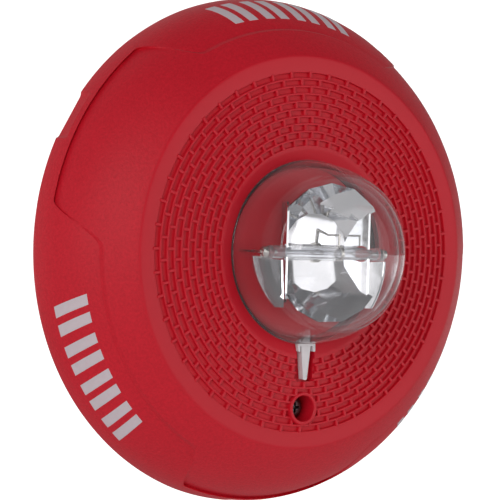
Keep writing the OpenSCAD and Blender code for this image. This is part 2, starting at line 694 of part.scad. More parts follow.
module spring_rivet() {
    color([0.75, 0.75, 0.76]) on_wall() translate([-18.5, spring_y, 0]) {
        disc(1, 1, spring_z + spring_t + 0.25);
        disc(1.8, spring_z + spring_t + 0.25, spring_z + spring_t + 0.9);
    }
}

mounting_plate();
screw_insert();
terminal_block();
terminal_contacts();
terminal_clamp_1();
terminal_clamp_2();
terminal_clamp_3();
terminal_clamp_4();
terminal_screw_1();
terminal_screw_2();
terminal_screw_3();
terminal_screw_4();
shorting_spring();
spring_rivet();
front_housing();
rear_cover();
rear_cover_screws();
hinge_pin();
lens();
lens_gasket();
reflector();
flash_tube();
tube_end_caps();
trigger_band();
circuit_board();
circuit_board_screws();
storage_capacitor();
inductor_core();
inductor_winding();
trigger_coil();
microcontroller();
rectifier_diodes();
chip_resistors();
contact_blades();
sounder_cup();
piezo_disc();
piezo_ceramic();
piezo_clamp_ring();
piezo_leads();
candela_switch();
candela_slider();
tone_switch();
tone_rotor();
screw_retainer();
screw_washer();
captive_screw();
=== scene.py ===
"""Looks of the round wall-mounted horn strobe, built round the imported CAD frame.

Pieces are drawn in millimetres with x to the right, y up and z out of the wall, and wall() stands them up in
the row frame, in metres: (x, y, z) goes to (x, -z, y).
"""

import json
import math

import bmesh
import bpy
import numpy as np
from mathutils import Matrix, Vector


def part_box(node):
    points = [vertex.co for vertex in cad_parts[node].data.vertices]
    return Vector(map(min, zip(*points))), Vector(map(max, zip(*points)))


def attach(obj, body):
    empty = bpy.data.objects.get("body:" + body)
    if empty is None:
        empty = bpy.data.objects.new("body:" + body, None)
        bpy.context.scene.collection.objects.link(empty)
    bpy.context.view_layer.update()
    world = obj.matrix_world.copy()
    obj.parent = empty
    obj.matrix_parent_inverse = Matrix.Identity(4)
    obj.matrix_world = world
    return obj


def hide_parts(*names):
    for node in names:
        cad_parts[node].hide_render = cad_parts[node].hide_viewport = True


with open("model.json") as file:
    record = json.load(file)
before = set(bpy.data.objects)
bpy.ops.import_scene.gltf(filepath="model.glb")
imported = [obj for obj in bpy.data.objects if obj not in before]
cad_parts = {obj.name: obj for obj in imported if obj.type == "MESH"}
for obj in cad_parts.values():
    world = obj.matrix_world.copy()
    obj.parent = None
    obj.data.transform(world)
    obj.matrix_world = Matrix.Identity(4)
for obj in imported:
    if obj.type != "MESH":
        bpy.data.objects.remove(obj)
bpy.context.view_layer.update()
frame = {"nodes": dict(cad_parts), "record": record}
NODES = frame["nodes"]
BODY_OF = {node: body for body, members in frame["record"]["behaviour"]["bodies"].items() for node in members}
SLOT_OF = {entry["node"]: entry["material_slot"] for entry in frame["record"]["subparts"]}

# ---------------------------------------------------------------- sizes, in millimetres
RIM_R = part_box("front_housing")[1].x * 1000
LENS_TOP = -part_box("lens")[0].y * 1000
CROWN_H = 33.3
FIELD_RISE = 2.2
WALL_T = 2.4
LEDGE = 1.2                        # rim left outside each lobe
PANEL_DROP = 25.2
CROWN_DROP = 19.4
RIDGE_R = RIM_R - 11.55
LOBES = (30, 150, 270)             # middles of the three lobes, in degrees
LOBE_HALF = 20
LOBE_SWEEP = 10.5
NOTCH_HALF = 8.5
NOTCH_D = 1.4
NOTCH_TOP = 6.2
RELIEF_Y = 80.5                    # the rim's back is relieved above this height, so that the head can tilt
RELIEF_SLOPE = 0.364
RELIEF_D = 0.16064
CREASE_R = RIM_R - LEDGE - CROWN_DROP
GRILLE_OUT = CREASE_R - 5.2
GRILLE_IN = 35.4
CELL_D = 1.0
CELL_ROWS = 10
CELLS_ROUND = 48
RIB_W = 0.8
BAR_W = 1.1
ROW_PITCH = (GRILLE_OUT - GRILLE_IN) / CELL_ROWS
FIELD_H = CROWN_H + FIELD_RISE
LENS_R = 30.5
LENS_T = 1.8
GROOVE_Z = CROWN_H - 1.8
DECK_Z = CROWN_H - 1.3
DECK_UNDER = CROWN_H - 4.2
SLOT_W = 7.4
TAIL_L = 12.0
SLOT_FLOOR = FIELD_H - 2.9
SCREW_Y = 52.3
WELL_R = 4.3
SEAT_Z = 20.5
TUBE_Z = 44.0
TUBE_R = 2.2
TUBE_HALF = 23.6
LEAD_X = TUBE_HALF + 2.2
BOARD_FRONT = 16.6
BOARD_BACK = 15.0
BOARD_SCREW_R, BOARD_SCREWS = 55.5, (20, 160, 210, 330)               # ring of screws, and their angles
COVER_BACK = 9.5
COVER_SCREW_R, COVER_SCREWS = RIM_R - 16, (45, 135, 225, 315)
CAPACITOR_AT = (-42, 4)
INDUCTOR_AT = (41, 16)
TERMINAL_PITCH, TERMINAL_Y, CLAMP_T = 9, 19, 1.5


def panel_r(z):
    return RIM_R - PANEL_DROP * (np.maximum(z, 0) / CROWN_H) ** 2.4


def panel_z(r):
    return CROWN_H * (np.maximum(RIM_R - r, 0) / PANEL_DROP) ** (1 / 2.4)


def crown_z(r):
    return CROWN_H * (np.maximum(RIM_R - LEDGE - r, 0) / CROWN_DROP) ** (1 / 2.3)


def field_z(r):
    return CROWN_H + FIELD_RISE * (1 - ((r - GRILLE_IN) / (GRILLE_OUT - GRILLE_IN)) ** 2)


def smooth(t):
    t = np.clip(t, 0, 1)
    return t * t * (3 - 2 * t)


def lobe_off(angle):
    """Degrees from each angle to the nearest lobe's middle."""
    return np.min([np.abs((angle - m + 540) % 360 - 180) for m in LOBES], axis=0)


def outline_r(angle):
    """Plan radius of the crown and its lobes: the ridge, swept out to the foot of each lobe."""
    share = smooth((LOBE_HALF + LOBE_SWEEP - lobe_off(angle)) / LOBE_SWEEP)
    return RIDGE_R + (RIM_R - LEDGE - 0.3 - RIDGE_R) * share


# ---------------------------------------------------------------- node trees
def find(sockets, key):
    """A socket by its place, its identifier or its name."""
    if isinstance(key, int):
        return sockets[key]
    for socket in sockets:
        if socket.identifier == key:
            return socket
    return sockets[key]


class Wire:
    """An output socket. Arithmetic on it adds Math nodes to its tree."""

    def __init__(self, tree, socket):
        self.tree = tree
        self.socket = socket

    def math(self, operation, *terms):
        return self.tree.node("ShaderNodeMath", {"operation": operation}, dict(enumerate((self, *terms))))

    def __add__(self, other):
        return self.math("ADD", other)

    def __sub__(self, other):
        return self.math("SUBTRACT", other)

    def __mul__(self, other):
        return self.math("MULTIPLY", other)

    def __truediv__(self, other):
        return self.math("DIVIDE", other)

    def __rsub__(self, other):
        return self.tree.node("ShaderNodeMath", {"operation": "SUBTRACT"}, {0: other, 1: self})

    def __pow__(self, other):
        return self.math("POWER", other)

    def __mod__(self, other):
        return self.math("FLOORED_MODULO", other)

    def __lt__(self, other):
        return self.math("LESS_THAN", other)

    def __gt__(self, other):
        return self.math("GREATER_THAN", other)

    __radd__ = __add__
    __rmul__ = __mul__


class Tree:
    """A node tree being built."""

    def __init__(self, tree):
        self.tree = tree

    def node(self, kind, settings=None, sockets=None, out=0):
        """Adds a node: its settings first, then the values or wires of its sockets. Returns one output."""
        made = self.tree.nodes.new(kind)
        for name, value in (settings or {}).items():
            setattr(made, name, value)
        for key, value in (sockets or {}).items():
            socket = find(made.inputs, key)
            if isinstance(value, Wire):
                self.tree.links.new(value.socket, socket)
            else:
                socket.default_value = value
        return Wire(self, find(made.outputs, out)) if len(made.outputs) else made


class Paint(Tree):
    """A material being built, with the textures that several finishes share."""

    def __init__(self, name):
        self.material = bpy.data.materials.new(name)
        self.material.use_nodes = True
        self.material.node_tree.nodes.clear()
        super().__init__(self.material.node_tree)
        self.place = self.node("ShaderNodeTexCoord", out="Object")

    def scaled(self, by):
        """The piece's own coordinates times a vector; (1, 0, 1) leaves out the distance from the wall."""
        return self.node("ShaderNodeVectorMath", {"operation": "MULTIPLY"}, {0: self.place, 1: by})

    def noise(self, size_mm, detail=2.0, stretch=None, rough=0.5):
        """Noise from 0 to 1 whose lumps are about size_mm across."""
        return self.node("ShaderNodeTexNoise", {}, {"Vector": self.scaled(stretch) if stretch else self.place,
                                                    "Scale": 1000 / size_mm, "Detail": detail, "Roughness": rough})

    def mix(self, share, a, b):
        a, b = [(*c, 1) if isinstance(c, tuple) and len(c) == 3 else c for c in (a, b)]
        return self.node("ShaderNodeMix", {"data_type": "RGBA"},
                         {"Factor_Float": share, "A_Color": a, "B_Color": b}, "Result_Color")

    def bump(self, height, depth_mm, strength=1.0):
        return self.node("ShaderNodeBump", {}, {"Strength": strength, "Distance": depth_mm / 1000,
                                                "Height": height})

    def done(self, **sockets):
        """Joins a Principled shader with those sockets to the output and returns the material."""
        named = {key.replace("_", " "): value for key, value in sockets.items()}
        shader = self.node("ShaderNodeBsdfPrincipled", {}, named)
        self.node("ShaderNodeOutputMaterial", {}, {"Surface": shader})
        return self.material


# ---------------------------------------------------------------- finishes
def moulded(name, colour, rough=0.42, grain=0.45, depth=0.012, shade=0.12, specular=0.5):
    """Moulded plastic: fine spark-eroded grain, slow changes of gloss and a faint change of colour."""
    p = Paint(name)
    slow = p.noise(28, 3)
    fine = p.noise(grain, 3, rough=0.6)
    dark = tuple(c * (1 - shade) for c in colour)
    return p.done(Base_Color=p.mix(slow * 0.6 + fine * 0.4, (*dark, 1), (*colour, 1)),
                  Roughness=rough - 0.05 + 0.07 * slow + 0.05 * fine,
                  Specular_IOR_Level=specular,
                  Normal=p.bump(fine + 0.35 * p.noise(grain * 4, 2), depth))


def metal(name, colour, rough=0.25, grain=0.6, stretch=(1, 1, 1), depth=0.004, tarnish=0.15):
    """Bare or plated metal: drawn or tumbled scratches and a patchy, slightly duller film."""
    p = Paint(name)
    scratch = p.noise(grain, 4, stretch, 0.65)
    film = p.noise(6, 3)
    dull = tuple(c * (1 - tarnish) for c in colour)
    return p.done(Base_Color=p.mix(film, (*colour, 1), (*dull, 1)), Metallic=1.0,
                  Roughness=rough - 0.06 + 0.1 * film + 0.06 * scratch,
                  Normal=p.bump(scratch, depth))


def red_plastic():
    """The housing: satin red, smooth on its face, with a coarse spark-eroded grain on the crown and side panels."""
    p = Paint("red_housing")
    slow = p.noise(35, 2)
    grain = p.noise(0.9, 3, rough=0.7)
    radius = p.node("ShaderNodeVectorMath", {"operation": "LENGTH"}, {0: p.scaled((1, 0, 1))}, "Value")
    spark = radius > (CREASE_R + 0.3) / 1000
    speck = (grain - 0.5) * (0.4 + 1.6 * spark)
    colour = p.mix(0.5 * slow + speck + 0.3, (0.52, 0.0042, 0.016), (0.68, 0.0085, 0.025))
    return p.done(Base_Color=colour, Roughness=0.4 + 0.06 * slow + 0.1 * spark, Specular_IOR_Level=0.3,
                  Normal=p.bump(grain * (0.08 + 0.92 * spark) + 0.15 * p.noise(3.2, 2), 0.15))


def white_ink():
    """Pad-printed white: slightly thin in places, so that a little red shows through."""
    p = Paint("white_ink")
    thin = p.noise(1.6, 4)
    return p.done(Base_Color=p.mix((thin - 0.35) * 0.5, (0.66, 0.56, 0.6), (0.6, 0.38, 0.42)),
                  Roughness=0.42 + 0.1 * p.noise(5, 2), Normal=p.bump(p.noise(0.4, 2), 0.01))


def clear_plastic(name, tint, sheen):
    """Clear moulded plastic in a thin wall: what is behind shows through, and it shines more towards its edges."""
    p = Paint(name)
    facing = p.node("ShaderNodeLayerWeight", {}, {"Blend": 0.5}, "Facing")
    shine = p.node("ShaderNodeBsdfPrincipled", {}, {"Base Color": (0.94, 0.92, 0.94, 1), "Metallic": 0.7,
                                                    "Roughness": 0.04, "Normal": p.bump(p.noise(9, 1), 0.006)})
    through = p.node("ShaderNodeBsdfTransparent", {}, {"Color": (*tint, 1)})
    both = p.node("ShaderNodeMixShader", {}, {0: sheen + (1 - sheen) * facing ** 3.5, 1: through, 2: shine})
    p.node("ShaderNodeOutputMaterial", {}, {"Surface": both})
    return p.material


def milky_plastic(name, white, clear, rough):
    """Thick clear plastic or quartz that scatters light inside and so looks whitish."""
    p = Paint(name)
    streak = p.noise(2.4, 3)
    return p.done(Base_Color=p.mix(streak, white, tuple(0.86 * c for c in white)), Roughness=rough + 0.08 * streak,
                  IOR=1.5, Transmission_Weight=clear, Normal=p.bump(streak, 0.02))


def reflector_chrome():
    p = Paint("reflector_chrome")
    haze = p.noise(4, 4)
    return p.done(Base_Color=p.mix(haze, (0.93, 0.94, 0.95), (0.84, 0.86, 0.88)), Metallic=1.0,
                  Roughness=0.04 + 0.06 * haze, Normal=p.bump(p.noise(5, 1), 0.012))


def board_green():
    """Solder mask over copper tracks: a square maze of slightly raised, lighter lines, and plated pads."""
    p = Paint("pcb_green")
    flat = p.scaled((1, 0, 1))
    maze = p.node("ShaderNodeTexVoronoi", {"feature": "DISTANCE_TO_EDGE", "distance": "EUCLIDEAN"},
                  {"Vector": flat, "Scale": 260.0, "Randomness": 0.55}, "Distance")
    track = maze < 0.06
    pads = p.node("ShaderNodeTexVoronoi", {"feature": "F1"}, {"Vector": flat, "Scale": 190.0,
                                                              "Randomness": 0.3}, "Distance") < 0.11
    mask = p.mix(track, (0.012, 0.13, 0.05), (0.03, 0.24, 0.1))
    return p.done(Base_Color=p.mix(pads, mask, (0.78, 0.72, 0.6)), Metallic=pads * 0.9,
                  Roughness=0.3 + 0.1 * p.noise(3, 2), Normal=p.bump(track + pads, 0.03))


def wound_copper():
    """Enamelled wire: fine turns side by side, with a coppery lacquer."""
    p = Paint("copper")
    turns = p.node("ShaderNodeTexWave", {"wave_type": "BANDS", "bands_direction": "Y", "wave_profile": "SIN"},
                   {"Vector": p.place, "Scale": 420.0, "Distortion": 0.3}, "Fac")
    return p.done(Base_Color=p.mix(turns, (0.3, 0.1, 0.04), (0.75, 0.33, 0.13)), Metallic=0.85,
                  Roughness=0.28 + 0.15 * p.noise(1.5, 2), Normal=p.bump(turns, 0.08))


def sleeve():
    """Shrink sleeve of the capacitor, with a plain paler stripe along it."""
    p = Paint("cap_sleeve")
    x = p.node("ShaderNodeSeparateXYZ", {}, {0: p.place}, "X")
    stripe = (x + 0.042).math("ABSOLUTE") < 0.0022
    return p.done(Base_Color=p.mix(stripe, (0.02, 0.024, 0.06), (0.5, 0.52, 0.55)),
                  Roughness=0.28 + 0.12 * p.noise(2, 2), Normal=p.bump(p.noise(1.2, 3), 0.03))


FINISHES = {
    "red_housing": red_plastic(),
    "white_ink": white_ink(),
    "plate_black": moulded("plate_black", (0.022, 0.022, 0.024), 0.5, 0.5, 0.02, 0.3),
    "cover_black": moulded("cover_black", (0.03, 0.03, 0.032), 0.46, 0.6, 0.02, 0.3),
    "clear_lens": clear_plastic("clear_lens", (0.965, 0.96, 0.965), 0.04),
    "lens_bar": milky_plastic("lens_bar", (0.95, 0.9, 0.92), 0.25, 0.18),
    "reflector_chrome": reflector_chrome(),
    "tube_glass": milky_plastic("tube_glass", (0.97, 0.98, 1.0), 0.9, 0.02),
    "nickel": metal("nickel", (0.66, 0.64, 0.6), 0.24),
    "zinc_steel": metal("zinc_steel", (0.6, 0.61, 0.63), 0.3, 0.8),
    "dark_steel": metal("dark_steel", (0.16, 0.155, 0.16), 0.38, 0.7),
    "brass": metal("brass", (0.78, 0.55, 0.2), 0.22),
    "spring_bronze": metal("spring_bronze", (0.72, 0.5, 0.24), 0.26, 0.5, (0.2, 1, 1)),
    "copper": wound_copper(),
    "gasket_rubber": moulded("gasket_rubber", (0.02, 0.02, 0.02), 0.75, 0.8, 0.03),
    "terminal_black": moulded("terminal_black", (0.016, 0.016, 0.018), 0.36, 0.4, 0.01, 0.3),
    "pcb_green": board_green(),
    "cap_sleeve": sleeve(),
    "ferrite": moulded("ferrite", (0.05, 0.05, 0.055), 0.6, 0.5, 0.05, 0.3),
    "coil_potting": moulded("coil_potting", (0.2, 0.02, 0.015), 0.35, 1.5, 0.05, 0.3),
    "ic_black": moulded("ic_black", (0.02, 0.02, 0.021), 0.5, 0.3, 0.02, 0.25),
    "chip_black": moulded("chip_black", (0.03, 0.03, 0.033), 0.45, 0.3, 0.02, 0.25),
    "cup_black": moulded("cup_black", (0.025, 0.025, 0.028), 0.45, 0.5, 0.02, 0.25),
    "ceramic": moulded("ceramic", (0.62, 0.61, 0.58), 0.4, 0.4, 0.01, 0.1),
    "lead_red": moulded("lead_red", (0.5, 0.02, 0.015), 0.35, 0.8, 0.02),
    "switch_grey": moulded("switch_grey", (0.06, 0.06, 0.065), 0.5, 0.4, 0.02),
    "switch_white": moulded("switch_white", (0.72, 0.72, 0.7), 0.42, 0.5, 0.01, 0.08),
    "nylon": moulded("nylon", (0.66, 0.63, 0.55), 0.45, 0.7, 0.02, 0.1),
}


# ---------------------------------------------------------------- meshes
def wall(points):
    """Millimetres with z out of the wall, to metres in the row frame."""
    p = np.asarray(points, float)
    return np.stack([p[..., 0], -p[..., 2], p[..., 1]], -1) / 1000


def mesh_of(name, points, faces):
    mesh = bpy.data.meshes.new(name)
    mesh.from_pydata(wall(points).tolist(), [], [list(map(int, f)) for f in faces])
    return mesh


def in_scene(name, data):
    """A new object on a mesh, light or camera, linked to the scene."""
    made = bpy.data.objects.new(name, data)
    bpy.context.scene.collection.objects.link(made)
    return made


def finish_piece(mesh, name, body, slot, finish=None, replaces=(), sharp=35):
    """Makes the object of a finished mesh: its shading, its finish, its body and the CAD nodes it stands for."""
    mesh.name = name
    piece = in_scene(name, mesh)
    mesh.materials.clear()
    mesh.materials.append(FINISHES[finish or slot])
    mesh.shade_smooth()
    mesh.set_sharp_from_angle(angle=math.radians(sharp))
    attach(piece, body)
    if replaces:
        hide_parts(*replaces)
    return piece


def joined(parts):
    """Several (points, faces) as one."""
    points, faces, at = [], [], 0
    for p, f in parts:
        points.append(np.asarray(p, float).reshape(-1, 3))
        faces += [[i + at for i in face] for face in f]
        at += len(points[-1])
    return np.concatenate(points), faces


def turned(profile, columns=160, at=(0, 0), axis="z"):
    """A closed solid of revolution from (radius, height) points that go round its section anticlockwise."""
    profile = [(max(r, 0.0), h) for r, h in profile]
    angle = np.arange(columns) * 2 * math.pi / columns
    points, rows = [], []
    for r, h in profile:
        if r < 1e-6:
            rows.append([len(points)] * columns)
            points.append((0, 0, h))
        else:
            rows.append(list(range(len(points), len(points) + columns)))
            points += [(r * math.cos(a), r * math.sin(a), h) for a in angle]
    faces = []
    for i in range(len(profile)):
        low, high = rows[i], rows[(i + 1) % len(profile)]
        if low[0] == low[1] and high[0] == high[1]:
            continue
        for j in range(columns):
            k = (j + 1) % columns
            ring = [low[j], low[k], high[k], high[j]]
            faces.append(list(dict.fromkeys(ring)))
    points = np.array(points)
    if axis == "x":
        points = points[:, [2, 0, 1]]
    return points + (at[0], at[1], at[2] if len(at) > 2 else 0), faces


def rounded(corners, radius=0.3, steps=3):
    """A profile with its corners rounded: (r, z) or (r, z, own radius) points, closed."""
    out = []
    count = len(corners)
    for i, corner in enumerate(corners):
        p = np.array(corner[:2], float)
        size = corner[2] if len(corner) > 2 else radius
        before = np.array(corners[i - 1][:2], float) - p
        after = np.array(corners[(i + 1) % count][:2], float) - p
        reach = min(size, 0.45 * np.linalg.norm(before), 0.45 * np.linalg.norm(after))
        if reach < 1e-4 or p[0] < 1e-6:
            out.append(tuple(p))
            continue
        a = p + before / np.linalg.norm(before) * reach
        b = p + after / np.linalg.norm(after) * reach
        for t in np.linspace(0, 1, steps + 1):
            out.append(tuple((1 - t) ** 2 * a + 2 * t * (1 - t) * p + t * t * b))
    return out


def prism(outline, z0, z1):
    """A straight-sided block on an anticlockwise outline."""
    n = len(outline)
    points = [(x, y, z0) for x, y in outline] + [(x, y, z1) for x, y in outline]
    faces = [list(range(n))[::-1], list(range(n, 2 * n))]
    faces += [[i, (i + 1) % n, n + (i + 1) % n, n + i] for i in range(n)]
    return np.array(points), faces


def rounded_box(x0, x1, y0, y1, r, steps=5):
    """Outline of a rectangle with round corners."""
    out = []
    for cx, cy, start in ((x1 - r, y0 + r, -90), (x1 - r, y1 - r, 0), (x0 + r, y1 - r, 90), (x0 + r, y0 + r, 180)):
        for i in range(steps + 1):
            a = math.radians(start + 90 * i / steps)
            out.append((cx + r * math.cos(a), cy + r * math.sin(a)))
    return out


def outward(mesh):
    """The mesh with its normals turned outward."""
    work = bmesh.new()
    work.from_mesh(mesh)
    bmesh.ops.recalc_face_normals(work, faces=work.faces)
    work.to_mesh(mesh)
    work.free()
    return mesh


def flipped(solid):
    """The solid inside out, for a hollow."""
    return solid[0], [face[::-1] for face in solid[1]]


def mirrored(solid):
    """The solid mirrored from right to left."""
    return solid[0] * (-1, 1, 1), [face[::-1] for face in solid[1]]


def carved(mesh, add=(), cut=()):
    """The mesh with solids added and cut away."""
    body = in_scene("body", mesh)
    tools = []
    for operation, solids in (("UNION", add), ("DIFFERENCE", cut)):
        for solid in solids:
            tool = in_scene("tool", solid if hasattr(solid, "vertices") else mesh_of("tool", *solid))
            tools.append(tool)
            modifier = body.modifiers.new("carve", "BOOLEAN")
            modifier.operation = operation
            modifier.solver = "MANIFOLD"
            modifier.object = tool
    result = baked(body)
    for thing in (body, *tools):
        bpy.data.objects.remove(thing)
    return result


def baked(thing):
    """The evaluated object as a plain mesh."""
    bpy.context.view_layer.update()
    evaluated = thing.evaluated_get(bpy.context.evaluated_depsgraph_get())
    return bpy.data.meshes.new_from_object(evaluated)


# ---------------------------------------------------------------- front housing
def housing_rows(angle):
    """Radius and height of every row of the shell's section, for all angles at once, from the rim's back edge
    over the front to the middle, and back along the inside."""
    rows = []
    edge = outline_r(angle)
    ones = np.ones_like(angle)

    def row(r, z):
        rows.append((r * ones, z * ones))

    # rim and side panels, up to the foot of the crown
    soft = 0.42                                   # half width of the step at the outline
    top = panel_z(edge + soft)
    row(RIM_R - 0.45, 0)
    for t in (0.03, 0.06, 0.11, 0.18, 0.27, 0.37, 0.48, 0.6, 0.72, 0.83, 0.92, 1):
        z = 0.35 + (top - 0.35) * t
        row(panel_r(z) - 0.12 * max(0, 1 - t / 0.06), z)
    # the step itself, softened above and below
    for t in (0.8, 0.55, 0.3, 0.1, -0.1, -0.3, -0.55, -0.8, -1):
        share = smooth((1 - t) / 2)
        row(edge + soft * t, top * (1 - share) + crown_z(edge - soft) * share)
    # crown, up to the crease
    start = crown_z(edge - soft)
    for t in (0.04, 0.1, 0.2, 0.32, 0.45, 0.58, 0.7, 0.81, 0.9, 0.96):
        z = start + (CROWN_H - 0.5 - start) * t
        row(RIM_R - LEDGE - CROWN_DROP * (z / CROWN_H) ** 2.3, z)
    for inward, drop in ((-0.35, 0.33), (-0.1, 0.17), (0.2, 0.07), (0.5, 0.02), (0.9, 0)):
        row(CREASE_R - inward, CROWN_H - drop)
    # flat ring, the recess under the ribs, and the annulus round the lens
    outer, inner = GRILLE_OUT - RIB_W / 2, GRILLE_IN + RIB_W / 2
    for r, z in ((outer + 0.25, CROWN_H), (outer + 0.1, CROWN_H - 0.03), (outer, CROWN_H - 0.15),
                 (outer - 0.06, field_z(outer) - CELL_D)):
        row(r, z)
    for t in np.linspace(0.08, 0.92, 10):
        r = outer + (inner - outer) * t
        row(r, field_z(r) - CELL_D)
    for r, z in ((inner + 0.06, field_z(inner) - CELL_D), (inner, field_z(inner) - 0.15),
                 (inner - 0.1, field_z(inner) - 0.03), (inner - 0.3, FIELD_H), (34, FIELD_H - 0.3),
                 (32.2, CROWN_H + 1.25), (LENS_R + 0.5, CROWN_H + 0.92), (LENS_R + 0.27, CROWN_H + 0.8),
                 (LENS_R + 0.25, CROWN_H + 0.5), (LENS_R + 0.25, GROOVE_Z), (LENS_R - LENS_T - 0.25, GROOVE_Z),
                 (LENS_R - LENS_T - 0.25, DECK_Z - 0.1), (LENS_R - LENS_T - 0.35, DECK_Z), (15, DECK_Z),
                 (0.01, DECK_Z), (0.01, DECK_UNDER), (15, DECK_UNDER), (LENS_R + 1.2, DECK_UNDER),
                 (LENS_R + 1.3, CROWN_H - WALL_T), (52, CROWN_H - WALL_T)):
        row(r, z)
    # inside of the skirt
    for t in (1, 0.93, 0.84, 0.72, 0.58, 0.42, 0.26, 0.12, 0.04):
        z = (CROWN_H - WALL_T) * t
        row(panel_r(CROWN_H * t) - WALL_T - 0.4, z)
    row(RIM_R - WALL_T - 0.4, 0)
    return np.array([r for r, _ in rows]), np.array([z for _, z in rows])


def housing_shell():
    columns = 720
    angle = np.arange(columns) * 360 / columns
    r, z = housing_rows(angle)
    # finger notches in the rim, flat across and running out in short ramps
    off = np.radians(lobe_off(angle))
    across = RIM_R * np.sin(off)
    flat = (RIM_R - NOTCH_D) / np.cos(off)
    depth = smooth((NOTCH_HALF + 0.2 - across) / 0.6) * smooth((NOTCH_TOP - z) / 0.7)
    r = np.where(r > flat, r - (r - flat) * depth, r)
    x, y = r * np.cos(np.radians(angle)), r * np.sin(np.radians(angle))
    z = np.maximum(z, np.where(y > RELIEF_Y, RELIEF_D + RELIEF_SLOPE * (y - RELIEF_Y), -1))
    count = len(r)
    points = np.stack([x, y, z], -1).reshape(-1, 3)
    faces = []
    for i in range(count):
        k = (i + 1) % count
        for j in range(columns):
            n = (j + 1) % columns
            faces.append([i * columns + j, i * columns + n, k * columns + n, k * columns + j])
    mesh = mesh_of("shell", points, faces)
    work = bmesh.new()
    work.from_mesh(mesh)
    bmesh.ops.remove_doubles(work, verts=[v for v in work.verts if math.hypot(v.co.x, v.co.z) < 1e-4], dist=1e-4)
    bmesh.ops.recalc_face_normals(work, faces=work.faces)
    work.to_mesh(mesh)
    work.free()
    at = (0, -SCREW_Y)
    boss_top = field_z(SCREW_Y) + 0.7
    tube = turned(rounded([(0, 13), (WELL_R + 1.6, 13, 0.1), (WELL_R + 1.6, CROWN_H - 1, 0.1),
                           (WELL_R + 1.35, CROWN_H, 0.1), (WELL_R + 1.2, boss_top, 0.35), (0, boss_top)]), 72, at)
    bore = turned(rounded([(0, 10), (2.1, 10, 0.01), (2.1, SEAT_Z - 0.03, 0.01), (WELL_R, SEAT_Z - 0.03, 0.1),
                           (WELL_R, boss_top - 0.3, 0.1), (WELL_R + 0.3, boss_top + 0.01, 0.01),
                           (WELL_R + 0.3, 45, 0.01), (0, 45)]), 72, at)
    end = -LENS_R - TAIL_L - 0.8
    tray = prism(rounded_box(-SLOT_W / 2 - 1.6, SLOT_W / 2 + 1.6, end - 1.6, -LENS_R - 0.6, 1), SLOT_FLOOR - 1.8,
                 CROWN_H + 0.2)
    slot = prism(rounded_box(-SLOT_W / 2, SLOT_W / 2, end, -LENS_R + 1, 0.8), SLOT_FLOOR, 45)
    return carved(mesh, [tube, tray], [bore, slot])


def geometry_tree(name, sizes):
    """A Geometry Nodes tree whose named inputs are sizes: {name: (socket type, value)}."""
    group = bpy.data.node_groups.new(name, "GeometryNodeTree")
    for label, (kind, _) in sizes.items():
        group.interface.new_socket(name=label, in_out="INPUT", socket_type=kind)
    group.interface.new_socket(name="Geometry", in_out="OUTPUT", socket_type="NodeSocketGeometry")
    tree = Tree(group)
    entry = group.nodes.new("NodeGroupInput")
    return tree, {label: Wire(tree, entry.outputs[label]) for label in sizes}


def grown(tree, shape, sizes, finish):
    """Ends the tree in Realize Instances and Set Material, runs it with those sizes and gives back the mesh."""
    shape = tree.node("GeometryNodeRealizeInstances", {}, {0: shape})
    shape = tree.node("GeometryNodeSetMaterial", {}, {0: shape, "Material": FINISHES[finish]})
    tree.node("NodeGroupOutput", {}, {0: shape})
    holder = in_scene("holder", bpy.data.meshes.new("holder"))
    modifier = holder.modifiers.new("grow", "NODES")
    modifier.node_group = tree.tree
    for item in tree.tree.interface.items_tree:
        if item.in_out == "INPUT":
            modifier[item.identifier] = sizes[item.name][1]
    mesh = baked(holder)
    holder.modifiers.clear()
    bpy.data.objects.remove(holder)
    return mesh


def stood_up(tree, shape):
    """Turns a shape drawn with z out of the wall into the row frame."""
    return tree.node("GeometryNodeTransform", {}, {0: shape, "Rotation": (math.pi / 2, 0, 0)})


